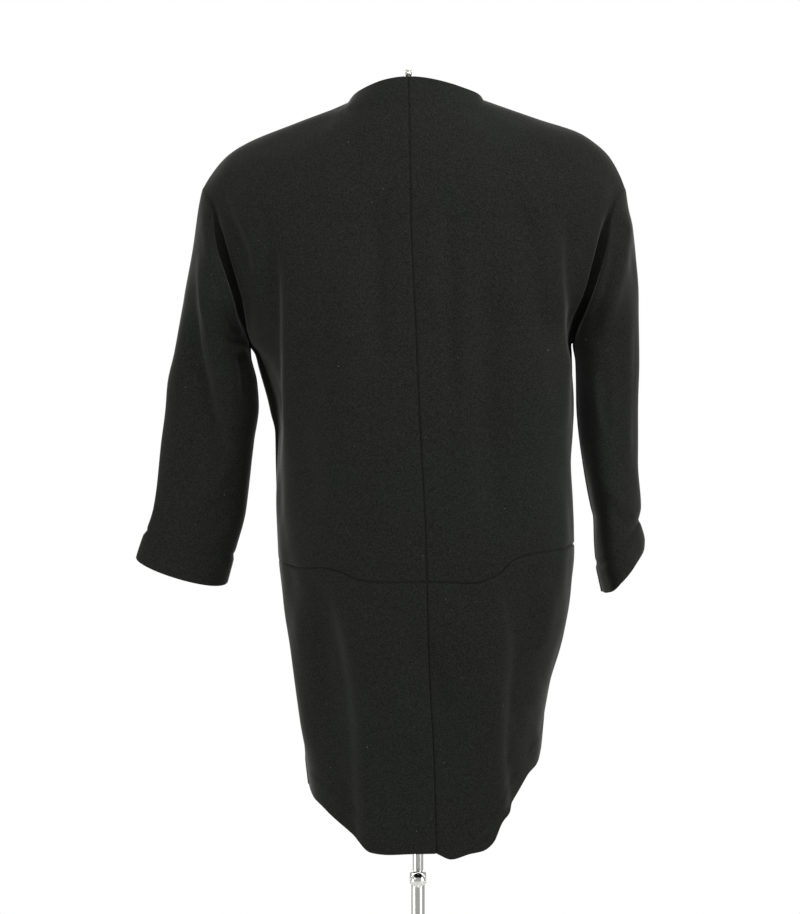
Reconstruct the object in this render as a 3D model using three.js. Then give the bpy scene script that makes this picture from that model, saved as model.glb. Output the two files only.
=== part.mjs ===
// A collarless cocoon coat on a limbless dress form, held up by a height-adjustable pole on a round base.
// Millimetres, +Z up. The origin is on the floor under the pole, the coat's back faces -Y and its front +Y,
// so the wearer's left is -X.
import * as THREE from 'three';
import { mergeVertices } from 'three/addons/utils/BufferGeometryUtils.js';

// ---------------------------------------------------------------- driving dimensions
const CLOTH = 2.0;              // thickness of the milled wool
const SEAM_GAP = 0.3;           // between two pieces that are sewn edge to edge
const LAP_GAP = 1.2;            // between the two fronts where one lies over the other
const LAP_SHARE = 0.085;        // how far each front passes the centre line, as a share of its own width
const DIP_START = 72;           // the under front dips below the upper one between these distances from
const DIP_END = 44;             // the centre line
const ROUNDNESS = 2.4;          // power of the superellipse that the body's sections follow
const YOKE_Z = 1235;            // the shoulders are draped above this height, cut in sections below it
const UNDERARM_Z = 1096;        // top of the side seams
const NECK_SHARE = 0.28;        // share of a quarter's columns that start at the neck edge
const DRAPE_HANDLE = 0.36;      // how soft the drape over the shoulders is, as a share of its length
const SHOULDER_STEEP = 0.22;    // how steeply the cloth leaves the shoulder seam
const SLEEVE_FORWARD = 16;      // how far the cuffs hang forward of the shoulders
const WELD = 1e-4;              // points closer than this are one point

const SIDES = [
  { name: 'left', sign: -1 },
  { name: 'right', sign: 1 },
];
const BACK = {
  name: 'back', sign: -1, lap: 0, neckDepth: 62, neckRise: 20, neckBend: 1.8, steep: 0.9, outward: 0.45,
};
const FRONT = {
  name: 'front', sign: 1, lap: 2, neckDepth: 84, neckRise: -68, neckBend: 1.4, steep: 0.93, outward: 0.35,
};

// Horizontal sections of the body, from the yoke to the hem. left and right are the x of the side seams, or
// above the underarm of the valleys between body and sleeves. back and front are depths from the seam plane,
// and valley is the share of that depth at which the valley lies.
const BODY = [
  { z: 1283, left: -256, right: 247, back: 104, front: 92, valley: 0.0 },
  { z: 1235, left: -239, right: 222, back: 113, front: 101, valley: 0.36 },
  { z: 1200, left: -230, right: 214, back: 119, front: 112, valley: 0.38 },
  { z: 1150, left: -215, right: 201, back: 126, front: 123, valley: 0.32 },
  { z: 1096, left: -202, right: 185, back: 131, front: 130, valley: 0.0 },
  { z: 1084, left: -194, right: 186, back: 132, front: 131, valley: 0.0 },
  { z: 1050, left: -183, right: 187, back: 135, front: 133, valley: 0.0 },
  { z: 1016, left: -174, right: 187, back: 138, front: 134, valley: 0.0 },
  { z: 990, left: -170, right: 186, back: 140, front: 134, valley: 0.0 },
  { z: 950, left: -170, right: 183, back: 143, front: 134, valley: 0.0 },
  { z: 900, left: -170, right: 185, back: 147, front: 134, valley: 0.0 },
  { z: 850, left: -169, right: 186, back: 149, front: 133, valley: 0.0 },
  { z: 800, left: -164, right: 181, back: 149, front: 131, valley: 0.0 },
  { z: 750, left: -157, right: 173, back: 146, front: 128, valley: 0.0 },
  { z: 700, left: -149, right: 162, back: 140, front: 124, valley: 0.0 },
  { z: 650, left: -142, right: 152, back: 133, front: 119, valley: 0.0 },
  { z: 600, left: -136, right: 146, back: 126, front: 113, valley: 0.0 },
  { z: 550, left: -129, right: 137, back: 119, front: 107, valley: 0.0 },
  { z: 490, left: -121, right: 128, back: 112, front: 101, valley: 0.0 },
];

// Where the centre-back seam and the centre-front line run: the coat hangs a little askew on the form.
const CENTRE_LINE = [
  { z: 1408, back: -12, front: -6 },
  { z: 1257, back: -10, front: -5 },
  { z: 1112, back: -4, front: -2 },
  { z: 997, back: 1, front: 0 },
  { z: 882, back: 7, front: 3 },
  { z: 710, back: 12, front: 5 },
  { z: 622, back: 17, front: 7 },
  { z: 490, back: 21, front: 8 },
];

// Shoulder seam from the neck (0) to the top of the sleeve's valley (1), as distance from the pole's axis.
const SHOULDER = [
  { share: 0.00, leftX: 83, leftZ: 1388, rightX: 75, rightZ: 1388 },
  { share: 0.10, leftX: 106, leftZ: 1376, rightX: 98, rightZ: 1380 },
  { share: 0.33, leftX: 150, leftZ: 1358, rightX: 142, rightZ: 1366 },
  { share: 0.60, leftX: 204, leftZ: 1338, rightX: 191, rightZ: 1350 },
  { share: 0.76, leftX: 228, leftZ: 1323, rightX: 215, rightZ: 1334 },
  { share: 0.88, leftX: 245, leftZ: 1303, rightX: 233, rightZ: 1315 },
  { share: 1.00, leftX: 256, leftZ: 1283, rightX: 247, rightZ: 1283 },
];

// The sleeves: x of the overarm seam (outer) and of the underarm seam (inner), and how far the cloth bulges
// from the line between them. The left sleeve hangs flat, the right one is turned edge on and is deeper.
const LEFT_SLEEVE = [
  { z: 1283, outer: -256, inner: -256, bulge: 0 },
  { z: 1250, outer: -263, inner: -243, bulge: 15 },
  { z: 1200, outer: -271, inner: -230, bulge: 31 },
  { z: 1150, outer: -281, inner: -215, bulge: 43 },
  { z: 1096, outer: -291, inner: -202, bulge: 48 },
  { z: 1084, outer: -293, inner: -202, bulge: 47 },
  { z: 1050, outer: -300, inner: -195, bulge: 44 },
  { z: 1020, outer: -303, inner: -193, bulge: 41 },
  { z: 980, outer: -309, inner: -199, bulge: 37 },
  { z: 950, outer: -312, inner: -201, bulge: 35 },
  { z: 900, outer: -318, inner: -205, bulge: 32 },
  { z: 887, outer: -321, inner: -207, bulge: 31 },
  { z: 860, outer: -331, inner: -214, bulge: 34 },
  { z: 838, outer: -338, inner: -220, bulge: 37 },
  { z: 808, outer: -344, inner: -228, bulge: 38 },
];
const RIGHT_SLEEVE = [
  { z: 1283, outer: 247, inner: 247, bulge: 0 },
  { z: 1250, outer: 253, inner: 228, bulge: 16 },
  { z: 1200, outer: 261, inner: 214, bulge: 34 },
  { z: 1150, outer: 264, inner: 201, bulge: 47 },
  { z: 1096, outer: 264, inner: 185, bulge: 54 },
  { z: 1074, outer: 264, inner: 188, bulge: 54 },
  { z: 1026, outer: 263, inner: 189, bulge: 53 },
  { z: 1000, outer: 263, inner: 191, bulge: 52 },
  { z: 950, outer: 264, inner: 198, bulge: 50 },
  { z: 900, outer: 268, inner: 207, bulge: 48 },
  { z: 887, outer: 266, inner: 210, bulge: 47 },
  { z: 860, outer: 272, inner: 211, bulge: 50 },
  { z: 838, outer: 270, inner: 213, bulge: 52 },
  { z: 797, outer: 268, inner: 222, bulge: 53 },
];
const CUFFS = {
  left: { outerZ: 838, innerZ: 808, sag: 9.5 },
  right: { outerZ: 850, innerZ: 798, sag: 8 },
};

// Height of the hip seam and of the hem, from the centre (0) round to the side seam (1) of each quarter.
const HIP = [
  { across: 0.0, backLeft: 817, backRight: 817, frontLeft: 842, frontRight: 842 },
  { across: 0.15, backLeft: 816, backRight: 815, frontLeft: 842, frontRight: 842 },
  { across: 0.25, backLeft: 819, backRight: 823, frontLeft: 841, frontRight: 843 },
  { across: 0.35, backLeft: 829, backRight: 843, frontLeft: 841, frontRight: 844 },
  { across: 0.45, backLeft: 832, backRight: 848, frontLeft: 840, frontRight: 846 },
  { across: 0.6, backLeft: 831, backRight: 852, frontLeft: 839, frontRight: 850 },
  { across: 0.8, backLeft: 835, backRight: 856, frontLeft: 838, frontRight: 854 },
  { across: 1.0, backLeft: 838, backRight: 857, frontLeft: 838, frontRight: 857 },
];
const HEM = [
  { across: 0.0, backLeft: 500, backRight: 500, frontLeft: 552, frontRight: 552 },
  { across: 0.08, backLeft: 500, backRight: 493, frontLeft: 552, frontRight: 552 },
  { across: 0.2, backLeft: 499, backRight: 499, frontLeft: 552, frontRight: 553 },
  { across: 0.3, backLeft: 501, backRight: 502, frontLeft: 553, frontRight: 556 },
  { across: 0.38, backLeft: 510, backRight: 511, frontLeft: 555, frontRight: 561 },
  { across: 0.44, backLeft: 518, backRight: 534, frontLeft: 556, frontRight: 566 },
  { across: 0.5, backLeft: 526, backRight: 544, frontLeft: 558, frontRight: 571 },
  { across: 0.6, backLeft: 539, backRight: 563, frontLeft: 562, frontRight: 583 },
  { across: 0.7, backLeft: 551, backRight: 586, frontLeft: 565, frontRight: 594 },
  { across: 0.8, backLeft: 557, backRight: 595, frontLeft: 567, frontRight: 606 },
  { across: 1.0, backLeft: 567, backRight: 621, frontLeft: 567, frontRight: 621 },
];

// The largest folds: each runs down the cloth through three points (top, middle, low), standing off it by
// lift, negative for a trough, and fading over the distance wide to either side and at both ends.
const FOLDS = [
  // Down the back of the skirt: a trough with a ridge beside it, on the left and on the right.
  { face: 'back', topX: -112, topZ: 850, midX: -95, midZ: 713, lowX: -82, lowZ: 480, wide: 13, lift: -9 },
  { face: 'back', topX: -90, topZ: 830, midX: -72, midZ: 713, lowX: -59, lowZ: 480, wide: 14, lift: 6 },
  { face: 'back', topX: 80, topZ: 845, midX: 84, midZ: 713, lowX: 88, lowZ: 480, wide: 14, lift: 7 },
  { face: 'back', topX: 104, topZ: 860, midX: 108, midZ: 713, lowX: 114, lowZ: 490, wide: 12, lift: -11 },
  // From the sleeves' valleys down over the shoulder blades.
  { face: 'back', topX: -176, topZ: 1275, midX: -158, midZ: 1156, lowX: -160, lowZ: 990, wide: 13, lift: 6 },
  { face: 'back', topX: -200, topZ: 1262, midX: -184, midZ: 1156, lowX: -178, lowZ: 1040, wide: 12, lift: -6 },
  { face: 'back', topX: 165, topZ: 1250, midX: 166, midZ: 1150, lowX: 172, lowZ: 1030, wide: 12, lift: 4 },
  // Down the fronts: long shallow drapes from the chest, and soft rolls in the skirt.
  { face: 'front', topX: -120, topZ: 1250, midX: -96, midZ: 1000, lowX: -88, lowZ: 640, wide: 22, lift: -5 },
  { face: 'front', topX: 118, topZ: 1250, midX: 104, midZ: 980, lowX: 100, lowZ: 620, wide: 22, lift: -5 },
  { face: 'front', topX: -74, topZ: 900, midX: -62, midZ: 720, lowX: -54, lowZ: 540, wide: 18, lift: 5 },
  { face: 'front', topX: 82, topZ: 900, midX: 74, midZ: 720, lowX: 66, lowZ: 540, wide: 18, lift: 5 },
];
const FOLD_FADE = 0.25;         // share of a fold's length over which it fades at an end
const HEM_REACH_Z = 500;        // a fold that ends below this height runs out through the hem unfaded

// How finely the pieces are divided.
const BODY_COLUMNS = 16;        // centre seam to side seam, or to the sleeve's valley
const SLEEVE_COLUMNS = 9;       // valley or underarm seam to overarm seam
const YOKE_ROWS = 6;
const CHEST_ROWS = 4;           // yoke to underarm
const HIP_ROWS = 7;             // underarm to hip seam
const SKIRT_ROWS = 8;           // hip seam to hem
const SLEEVE_SHARES = [0.1, 0.21, 0.32, 0.44, 0.56, 0.67, 0.76, 0.86, 1]; // underarm to cuff

// ---------------------------------------------------------------- small helpers
const lerp = THREE.MathUtils.lerp;
const clamp = THREE.MathUtils.clamp;
const signedPower = (value, power) => Math.sign(value) * Math.abs(value) ** power;
const byKey = (rows, key) => [...rows].sort((p, q) => p[key] - q[key]);

// Smooth reading of one named column of a table at a place between its rows, with no overshoot.
function reader(table, by) {
  const rows = byKey(table, by);
  const last = rows.length - 1;
  return (value, key) => {
    if (value <= rows[0][by]) return rows[0][key];
    if (value >= rows[last][by]) return rows[last][key];
    const slope = (k) => (rows[k + 1][key] - rows[k][key]) / (rows[k + 1][by] - rows[k][by]);
    const tangent = (k) => {
      if (k === 0) return slope(0);
      if (k === last) return slope(last - 1);
      const before = slope(k - 1);
      const after = slope(k);
      return before * after <= 0 ? 0 : (2 * before * after) / (before + after);
    };
    const i = rows.findIndex((row, k) => k < last && rows[k + 1][by] >= value);
    const span = rows[i + 1][by] - rows[i][by];
    const t = (value - rows[i][by]) / span;
    const t2 = t * t;
    const t3 = t2 * t;
    return (2 * t3 - 3 * t2 + 1) * rows[i][key] + (t3 - 2 * t2 + t) * span * tangent(i)
      + (3 * t2 - 2 * t3) * rows[i + 1][key] + (t3 - t2) * span * tangent(i + 1);
  };
}

const bodyAt = reader(BODY, 'z');
const centreAt = reader(CENTRE_LINE, 'z');
const shoulderAt = reader(SHOULDER, 'share');
const hipAt = reader(HIP, 'across');
const hemAt = reader(HEM, 'across');
const sleeveAt = { left: reader(LEFT_SLEEVE, 'z'), right: reader(RIGHT_SLEEVE, 'z') };
const quarter = (face, side) => face.name + side.name[0].toUpperCase() + side.name.slice(1);

function netGeometry(vertices, faces) {
  const geometry = new THREE.BufferGeometry();
  const numbers = vertices.flatMap((p) => p.toArray());
  geometry.setAttribute('position', new THREE.Float32BufferAttribute(numbers, 3));
  geometry.setIndex(faces);
  return geometry;
}

// ---------------------------------------------------------------- the coat's surface
// A point of the body's section at height z: across is 0 at the centre seam and 1 at the side seam or valley.
function bodyPoint(face, side, across, z) {
  const left = bodyAt(z, 'left');
  const right = bodyAt(z, 'right');
  const centre = (left + right) / 2;
  const end = Math.acos(bodyAt(z, 'valley') ** (ROUNDNESS / 2));
  const reach = (right - left) / 2 / Math.sin(end) ** (2 / ROUNDNESS);
  const seam = centreAt(z, face.name) - centre;
  const middle = Math.sign(seam) * Math.asin((Math.abs(seam) / reach) ** (ROUNDNESS / 2));
  const angle = lerp(middle, side.sign * end, across);
  const depth = bodyAt(z, face.name) * Math.max(0, Math.cos(angle)) ** (2 / ROUNDNESS);
  const x = centre + reach * signedPower(Math.sin(angle), 2 / ROUNDNESS);
  return new THREE.Vector3(x, face.sign * depth, z);
}

// The upper edge of a quarter: the neck edge, then the shoulder seam.
function topPoint(face, side, across) {
  const sideX = side.sign * shoulderAt(0, `${side.name}X`);
  const sideZ = shoulderAt(0, `${side.name}Z`);
  if (across <= NECK_SHARE) {
    const turn = (across / NECK_SHARE) * (Math.PI / 2);
    const middleX = centreAt(1408, face.name);
    const x = middleX + (sideX - middleX) * Math.sin(turn);
    return new THREE.Vector3(x, face.sign * face.neckDepth * Math.cos(turn),
      sideZ + face.neckRise * Math.cos(turn) ** face.neckBend);
  }
  const share = (across - NECK_SHARE) / (1 - NECK_SHARE);
  const reach = shoulderAt(share, `${side.name}X`);
  return new THREE.Vector3(side.sign * reach, 0, shoulderAt(share, `${side.name}Z`));
}

// A line that drapes over the shoulder from the upper edge down to the yoke's height.
function yokePoint(face, side, across, share) {
  const top = topPoint(face, side, across);
  const low = bodyPoint(face, side, across, YOKE_Z);
  const handle = DRAPE_HANDLE * top.distanceTo(low);
  const toShoulder = clamp(Math.abs(across) / NECK_SHARE, 0, 1) ** 1.5;
  const outward = lerp(face.outward, 1, toShoulder);
  const down = lerp(face.steep, SHOULDER_STEEP, toShoulder);
  const line = new THREE.CubicBezierCurve3(
    top,
    new THREE.Vector3(lerp(top.x, low.x, 0.3), top.y + face.sign * outward * handle, top.z - down * handle),
    new THREE.Vector3(lerp(top.x, low.x, 0.72), low.y, low.z + handle),
    low,
  );
  return line.getPoint(share);
}

// One quarter of the body as rows of points from the upper edge to the hem.
function bodyGrid(face, side) {
  const key = quarter(face, side);
  const columns = [];
  for (let i = face.lap; i > 0; i -= 1) columns.push((-LAP_SHARE * i) / face.lap);
  for (let i = 0; i <= BODY_COLUMNS; i += 1) columns.push(i / BODY_COLUMNS);
  const rows = [];
  for (let r = 0; r < YOKE_ROWS; r += 1) {
    rows.push(columns.map((across) => yokePoint(face, side, across, r / YOKE_ROWS)));
  }
  for (let r = 0; r < CHEST_ROWS; r += 1) {
    const z = lerp(YOKE_Z, UNDERARM_Z, r / CHEST_ROWS);
    rows.push(columns.map((across) => bodyPoint(face, side, across, z)));
  }
  for (let r = 0; r < HIP_ROWS; r += 1) {
    rows.push(columns.map((across) => bodyPoint(face, side, across,
      lerp(UNDERARM_Z, hipAt(across, key), r / HIP_ROWS))));
  }
  for (let r = 0; r <= SKIRT_ROWS; r += 1) {
    rows.push(columns.map((across) => bodyPoint(face, side, across,
      lerp(hipAt(across, key), hemAt(across, key), r / SKIRT_ROWS))));
  }
  return rows;
}

// One half of a sleeve, front or back, as rows from the top of the valley to the cuff. valleyRows are the
// body's own points along the valley, which the sleeve shares.
function sleeveGrid(face, side, valleyRows) {
  const cuff = CUFFS[side.name];
  const read = sleeveAt[side.name];
  const topZ = shoulderAt(1, `${side.name}Z`);
  const forward = (z) => SLEEVE_FORWARD * clamp((UNDERARM_Z - z) / (UNDERARM_Z - cuff.innerZ), 0, 1);
  const rowBetween = (inner, outer, share = 0) => {
    const bulge = read((inner.z + outer.z) / 2, 'bulge');
    const row = [];
    for (let c = 0; c <= SLEEVE_COLUMNS; c += 1) {
      const turn = (Math.PI * c) / SLEEVE_COLUMNS;
      const point = inner.clone().lerp(outer, (1 - Math.cos(turn)) / 2);
      point.y += face.sign * bulge * Math.sin(turn);
      point.z -= cuff.sag * Math.sin(turn) * share ** 4;
      row.push(point);
    }
    row[0] = inner;
    return row;
  };
  const rows = valleyRows.map((inner, r) => {
    const z = r < YOKE_ROWS ? lerp(topZ, YOKE_Z, (r / YOKE_ROWS) ** 1.3) : inner.z;
    return rowBetween(inner, new THREE.Vector3(read(z, 'outer'), 0, z));
  });
  for (const share of SLEEVE_SHARES) {
    const innerZ = lerp(UNDERARM_Z, cuff.innerZ, share);
    const outerZ = lerp(UNDERARM_Z, cuff.outerZ, share);
    rows.push(rowBetween(
      new THREE.Vector3(read(innerZ, 'inner'), forward(innerZ), innerZ),
      new THREE.Vector3(read(outerZ, 'outer'), forward(outerZ), outerZ),
      share,
    ));
  }
  return rows;
}

// How far the folds lift a point of the cloth.
function foldHeight(point, place) {
  let total = 0;
  for (const fold of FOLDS) {
    if (!place.startsWith(fold.face) || point.z > fold.topZ || point.z < fold.lowZ) continue;
    const t = (fold.topZ - point.z) / (fold.topZ - fold.lowZ);
    const middle = (fold.topZ - fold.midZ) / (fold.topZ - fold.lowZ);
    const x = t < middle ? lerp(fold.topX, fold.midX, t / middle)
      : lerp(fold.midX, fold.lowX, (t - middle) / (1 - middle));
    const lowFade = fold.lowZ < HEM_REACH_Z ? 1 : (1 - t) / FOLD_FADE;
    const fade = Math.min(1, t / FOLD_FADE, lowFade);
    total += fold.lift * fade * Math.exp(-(((point.x - x) / fold.wide) ** 2));
  }
  return total;
}

// ---------------------------------------------------------------- pieces of cloth
// The whole coat is one net of points, so that neighbouring pieces meet along the same seam line with the
// same slope. Each quad knows the piece that it belongs to.
const points = [];
const region = [];
const index = new Map();
const quads = [];

function pointId(point, layer, regionName) {
  const key = [point.x, point.y, point.z].map((v) => Math.round(v / WELD)).join() + layer;
  if (!index.has(key)) {
    index.set(key, points.length);
    points.push(point.clone());
    region.push(regionName);
  }
  return index.get(key);
}

function addGrid(rows, regionName, outwardSign, pieceOfRow, layerOf = () => '') {
  const ids = rows.map((row) => row.map((point, c) => pointId(point, layerOf(c), regionName)));
  for (let r = 0; r + 1 < rows.length; r += 1) {
    for (let c = 0; c + 1 < rows[r].length; c += 1) {
      const corners = [ids[r][c], ids[r + 1][c], ids[r + 1][c + 1], ids[r][c + 1]];
      if (outwardSign < 0) corners.reverse();
      quads.push({ piece: pieceOfRow(r), corners });
    }
  }
}

const UNDERARM_ROW = YOKE_ROWS + CHEST_ROWS;
const HIP_ROW = UNDERARM_ROW + HIP_ROWS;
for (const face of [BACK, FRONT]) {
  for (const side of SIDES) {
    const body = bodyGrid(face, side);
    const valley = body.slice(0, UNDERARM_ROW + 1).map((row) => row[row.length - 1]);
    const sleeve = sleeveGrid(face, side, valley);
    const outward = -face.sign * side.sign;
    const upper = face === BACK ? `back_upper_${side.name}` : `front_${side.name}`;
    const lower = face === BACK ? `back_lower_${side.name}` : `front_${side.name}`;
    const lapLayer = (c) => (face === FRONT && c <= 2 * face.lap ? side.name : '');
    addGrid(body, quarter(face, side), outward, (r) => (r < HIP_ROW ? upper : lower), lapLayer);
    addGrid(sleeve, `${side.name} sleeve`, outward, () => upper);
  }
}

// Normals of a net of quads, one per point.
function netNormals() {
  const normals = points.map(() => new THREE.Vector3());
  for (const { corners } of quads) {
    const [a, b, c, d] = corners.map((id) => points[id]);
    const area = new THREE.Vector3().crossVectors(c.clone().sub(a), d.clone().sub(b));
    for (const id of corners) normals[id].add(area);
  }
  for (const normal of normals) normal.normalize();
  return normals;
}

// The left front lies under the right one, so it dips below it near the centre.
function lapDip(point) {
  const beside = centreAt(point.z, 'front') - point.x;
  return (CLOTH + LAP_GAP) * (1 - THREE.MathUtils.smoothstep(beside, DIP_END, DIP_START));
}

const smoothNormals = netNormals();
points.forEach((point, id) => {
  const dip = region[id] === 'frontLeft' ? lapDip(point) : 0;
  point.addScaledVector(smoothNormals[id], foldHeight(point, region[id]) - dip);
});
const clothNormals = netNormals();
// At the underarm the body and the sleeve part, and the cloth between them faces down.
for (const side of SIDES) {
  const underarm = bodyPoint(BACK, side, 1, UNDERARM_Z);
  clothNormals[pointId(underarm, '', '')].set(0, 0, -1);
}

// A closed wall of cloth from the quads of one piece: an outer skin, an inner skin CLOTH further in, and the
// cut edges between them. The piece's edges are drawn in by half a seam gap.
function clothPiece(name) {
  const triangles = [];
  for (const { piece, corners: [a, b, c, d] } of quads) {
    if (piece !== name) continue;
    for (const triangle of [[a, b, c], [a, c, d]]) {
      if (new Set(triangle).size === 3) triangles.push(triangle);
    }
  }
  const edges = new Map();
  for (const triangle of triangles) {
    triangle.forEach((from, k) => {
      const to = triangle[(k + 1) % 3];
      if (edges.has(`${to},${from}`)) edges.delete(`${to},${from}`);
      else edges.set(`${from},${to}`, [from, to]);
    });
  }
  const along = new Map();
  for (const [from, to] of edges.values()) {
    const step = points[to].clone().sub(points[from]).normalize();
    for (const id of [from, to]) along.set(id, (along.get(id) ?? new THREE.Vector3()).add(step));
  }
  const ids = [...new Set(triangles.flat())];
  const place = new Map(ids.map((id, k) => [id, k]));
  const outer = ids.map((id) => {
    const point = points[id].clone();
    if (!along.has(id)) return point;
    const inward = new THREE.Vector3().crossVectors(clothNormals[id], along.get(id)).normalize();
    return point.addScaledVector(inward, SEAM_GAP / 2);
  });
  const inner = outer.map((point, k) => point.clone().addScaledVector(clothNormals[ids[k]], -CLOTH));
  const count = ids.length;
  const faces = [];
  for (const triangle of triangles) {
    const [a, b, c] = triangle.map((id) => place.get(id));
    faces.push(a, b, c, a + count, c + count, b + count);
  }
  for (const [from, to] of edges.values()) {
    const a = place.get(from);
    const b = place.get(to);
    // Both pieces of a seam split this strip along the same diagonal, so that their edges lie flat together.
    if (from < to) faces.push(a, a + count, b, b, a + count, b + count);
    else faces.push(a, a + count, b + count, a, b + count, b);
  }
  return netGeometry([...outer, ...inner], faces);
}

// ---------------------------------------------------------------- dress form
const FORM_SEGMENTS = 36;
const FORM_LEAN = -11.4;        // the neck stands this far to the left of the pole's axis
const FORM_BOTTOM_Z = 760;
const FORM_TOP_Z = 1396;
const REST_GAP = 0.5;           // between the torso's shoulders and the cloth that rests on them
// Rings of the torso below the shoulders: how far it reaches to its left and right, to the back and to the
// front, and the power of the superellipse that it follows.
const FORM = [
  { z: 760, left: 142, right: 142, back: 92, front: 80, power: 2.1 },
  { z: 764, left: 150, right: 150, back: 100, front: 88, power: 2.1 },
  { z: 790, left: 155, right: 157, back: 108, front: 96, power: 2.1 },
  { z: 840, left: 156, right: 160, back: 112, front: 98, power: 2.1 },
  { z: 900, left: 149, right: 153, back: 104, front: 92, power: 2.1 },
  { z: 960, left: 132, right: 136, back: 94, front: 84, power: 2.1 },
  { z: 1010, left: 123, right: 127, back: 90, front: 82, power: 2.1 },
  { z: 1060, left: 130, right: 134, back: 94, front: 92, power: 2.1 },
  { z: 1110, left: 142, right: 145, back: 98, front: 108, power: 2.1 },
  { z: 1150, left: 149, right: 152, back: 100, front: 113, power: 2.1 },
  { z: 1200, left: 156, right: 158, back: 102, front: 102, power: 2.1 },
  { z: 1250, left: 164, right: 167, back: 98, front: 84, power: 2.0 },
  { z: 1290, left: 170, right: 174, back: 84, front: 66, power: 1.9 },
  { z: 1320, left: 173, right: 178, back: 66, front: 52, power: 1.75 },
  { z: 1378, left: 66, right: 70, back: 45, front: 42, power: 1.7 },
  { z: 1387, left: 56, right: 57, back: 49, front: 47, power: 2 },
  { z: 1396, left: 54, right: 54, back: 50, front: 50, power: 2 },
];
// Rings across the shoulders, which reach as far out as the coat's shoulder seams let them.
const FORM_SHOULDERS = [
  { z: 1336, back: 54, front: 44, power: 1.55 },
  { z: 1346, back: 48, front: 40, power: 1.42 },
  { z: 1354, back: 44, front: 38, power: 1.35 },
  { z: 1362, back: 42, front: 37, power: 1.3 },
  { z: 1369, back: 41, front: 37, power: 1.3 },
];
const FORM_SHOULDER_END = 178;  // the limbless torso ends here, at its arm plates
const formLean = (z) => (FORM_LEAN * (z - FORM_BOTTOM_Z)) / (FORM_TOP_Z - FORM_BOTTOM_Z);

// How far a coat's shoulder seam lies from the axis at a height, measured under the cloth.
function shoulderReach(side, z) {
  const steps = 80;
  let before = null;
  const seamAt = (share) => new THREE.Vector2(shoulderAt(share, `${side}X`), shoulderAt(share, `${side}Z`));
  for (let k = 0; k <= steps; k += 1) {
    const here = seamAt(k / steps);
    const slope = seamAt(k / steps + 0.01).sub(here).normalize();
    here.x += slope.y * (CLOTH + REST_GAP);
    here.y -= slope.x * (CLOTH + REST_GAP);
    if (before && here.y <= z) return lerp(before.x, here.x, (before.y - z) / (before.y - here.y));
    before = here;
  }
  return before.x;
}

function formRing({ z, left, right, back, front, power }) {
  const ring = [];
  for (let k = 0; k < FORM_SEGMENTS; k += 1) {
    const turn = (2 * Math.PI * k) / FORM_SEGMENTS;
    const across = signedPower(Math.cos(turn), 2 / power);
    const deep = signedPower(Math.sin(turn), 2 / power);
    const x = formLean(z) + across * (across < 0 ? left : right);
    ring.push(new THREE.Vector3(x, deep * (deep < 0 ? back : front), z));
  }
  return ring;
}

function formRings() {
  const shoulders = FORM_SHOULDERS.map((ring) => ({
    ...ring,
    left: Math.min(FORM_SHOULDER_END, shoulderReach('left', ring.z) + formLean(ring.z)),
    right: Math.min(FORM_SHOULDER_END, shoulderReach('right', ring.z) - formLean(ring.z)),
  }));
  return byKey([...FORM, ...shoulders], 'z').map(formRing);
}

// A closed solid through rings, listed from the bottom up, with flat ends.
function loft(rings) {
  const count = rings[0].length;
  const vertices = rings.flat();
  const faces = [];
  for (let r = 0; r + 1 < rings.length; r += 1) {
    for (let k = 0; k < count; k += 1) {
      const a = r * count + k;
      const b = r * count + ((k + 1) % count);
      faces.push(a, b, b + count, a, b + count, a + count);
    }
  }
  const top = (rings.length - 1) * count;
  for (let k = 1; k + 1 < count; k += 1) {
    faces.push(0, k + 1, k, top, top + k, top + k + 1);
  }
  return netGeometry(vertices, faces);
}

// ---------------------------------------------------------------- stand
const ROUND_SEGMENTS = 32;
const BASE_SEGMENTS = 48;
const SMALL_SEGMENTS = 20;
const CONTACT = 0.3;            // gap between hard pieces that touch
const POLE_RADIUS = 6.3;
const POLE_BORE = 5.1;
const POLE_LOW_Z = 200;
const TUBE_BORE = POLE_RADIUS + CONTACT;
const TUBE_RADIUS = 8;
const TUBE_TOP_Z = 459.7;
const BASE_RADIUS = 150;
const BASE_THICKNESS = 9;
const SOCKET_FLOOR_Z = 14;
const SOCKET_TOP_Z = 36;
const SOCKET_RADIUS = 14;
const COLLAR_RADIUS = 9.8;
const COLLAR_LOW_Z = 447;
const COLLAR_TOP_Z = 463.5;
const FLANGE_RADIUS = 36;
const FLANGE_THICKNESS = 5;
const FLANGE_SOCKET_RADIUS = 10;
const FLANGE_SOCKET_LENGTH = 28;
const KNOB_RADIUS = 9.4;
const KNOB_Z = 456;
const SCREW_RADIUS = 2.6;
const CAP_RADIUS = 47;
const CAP_THICKNESS = 5;
const FINIAL_TOP_Z = 1424.4;

// A turned piece: profile is a list of [radius, height] that closes on the axis or on itself.
function turned(profile, segments = ROUND_SEGMENTS) {
  const outline = profile.map(([radius, height]) => new THREE.Vector2(radius, height));
  const closed = profile[0][0] > 0;
  if (closed) outline.push(outline[0].clone());
  const geometry = new THREE.LatheGeometry(outline, segments);
  geometry.deleteAttribute('normal');
  geometry.deleteAttribute('uv');
  geometry.rotateX(Math.PI / 2);
  return mergeVertices(geometry, 1e-4);
}

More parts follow.
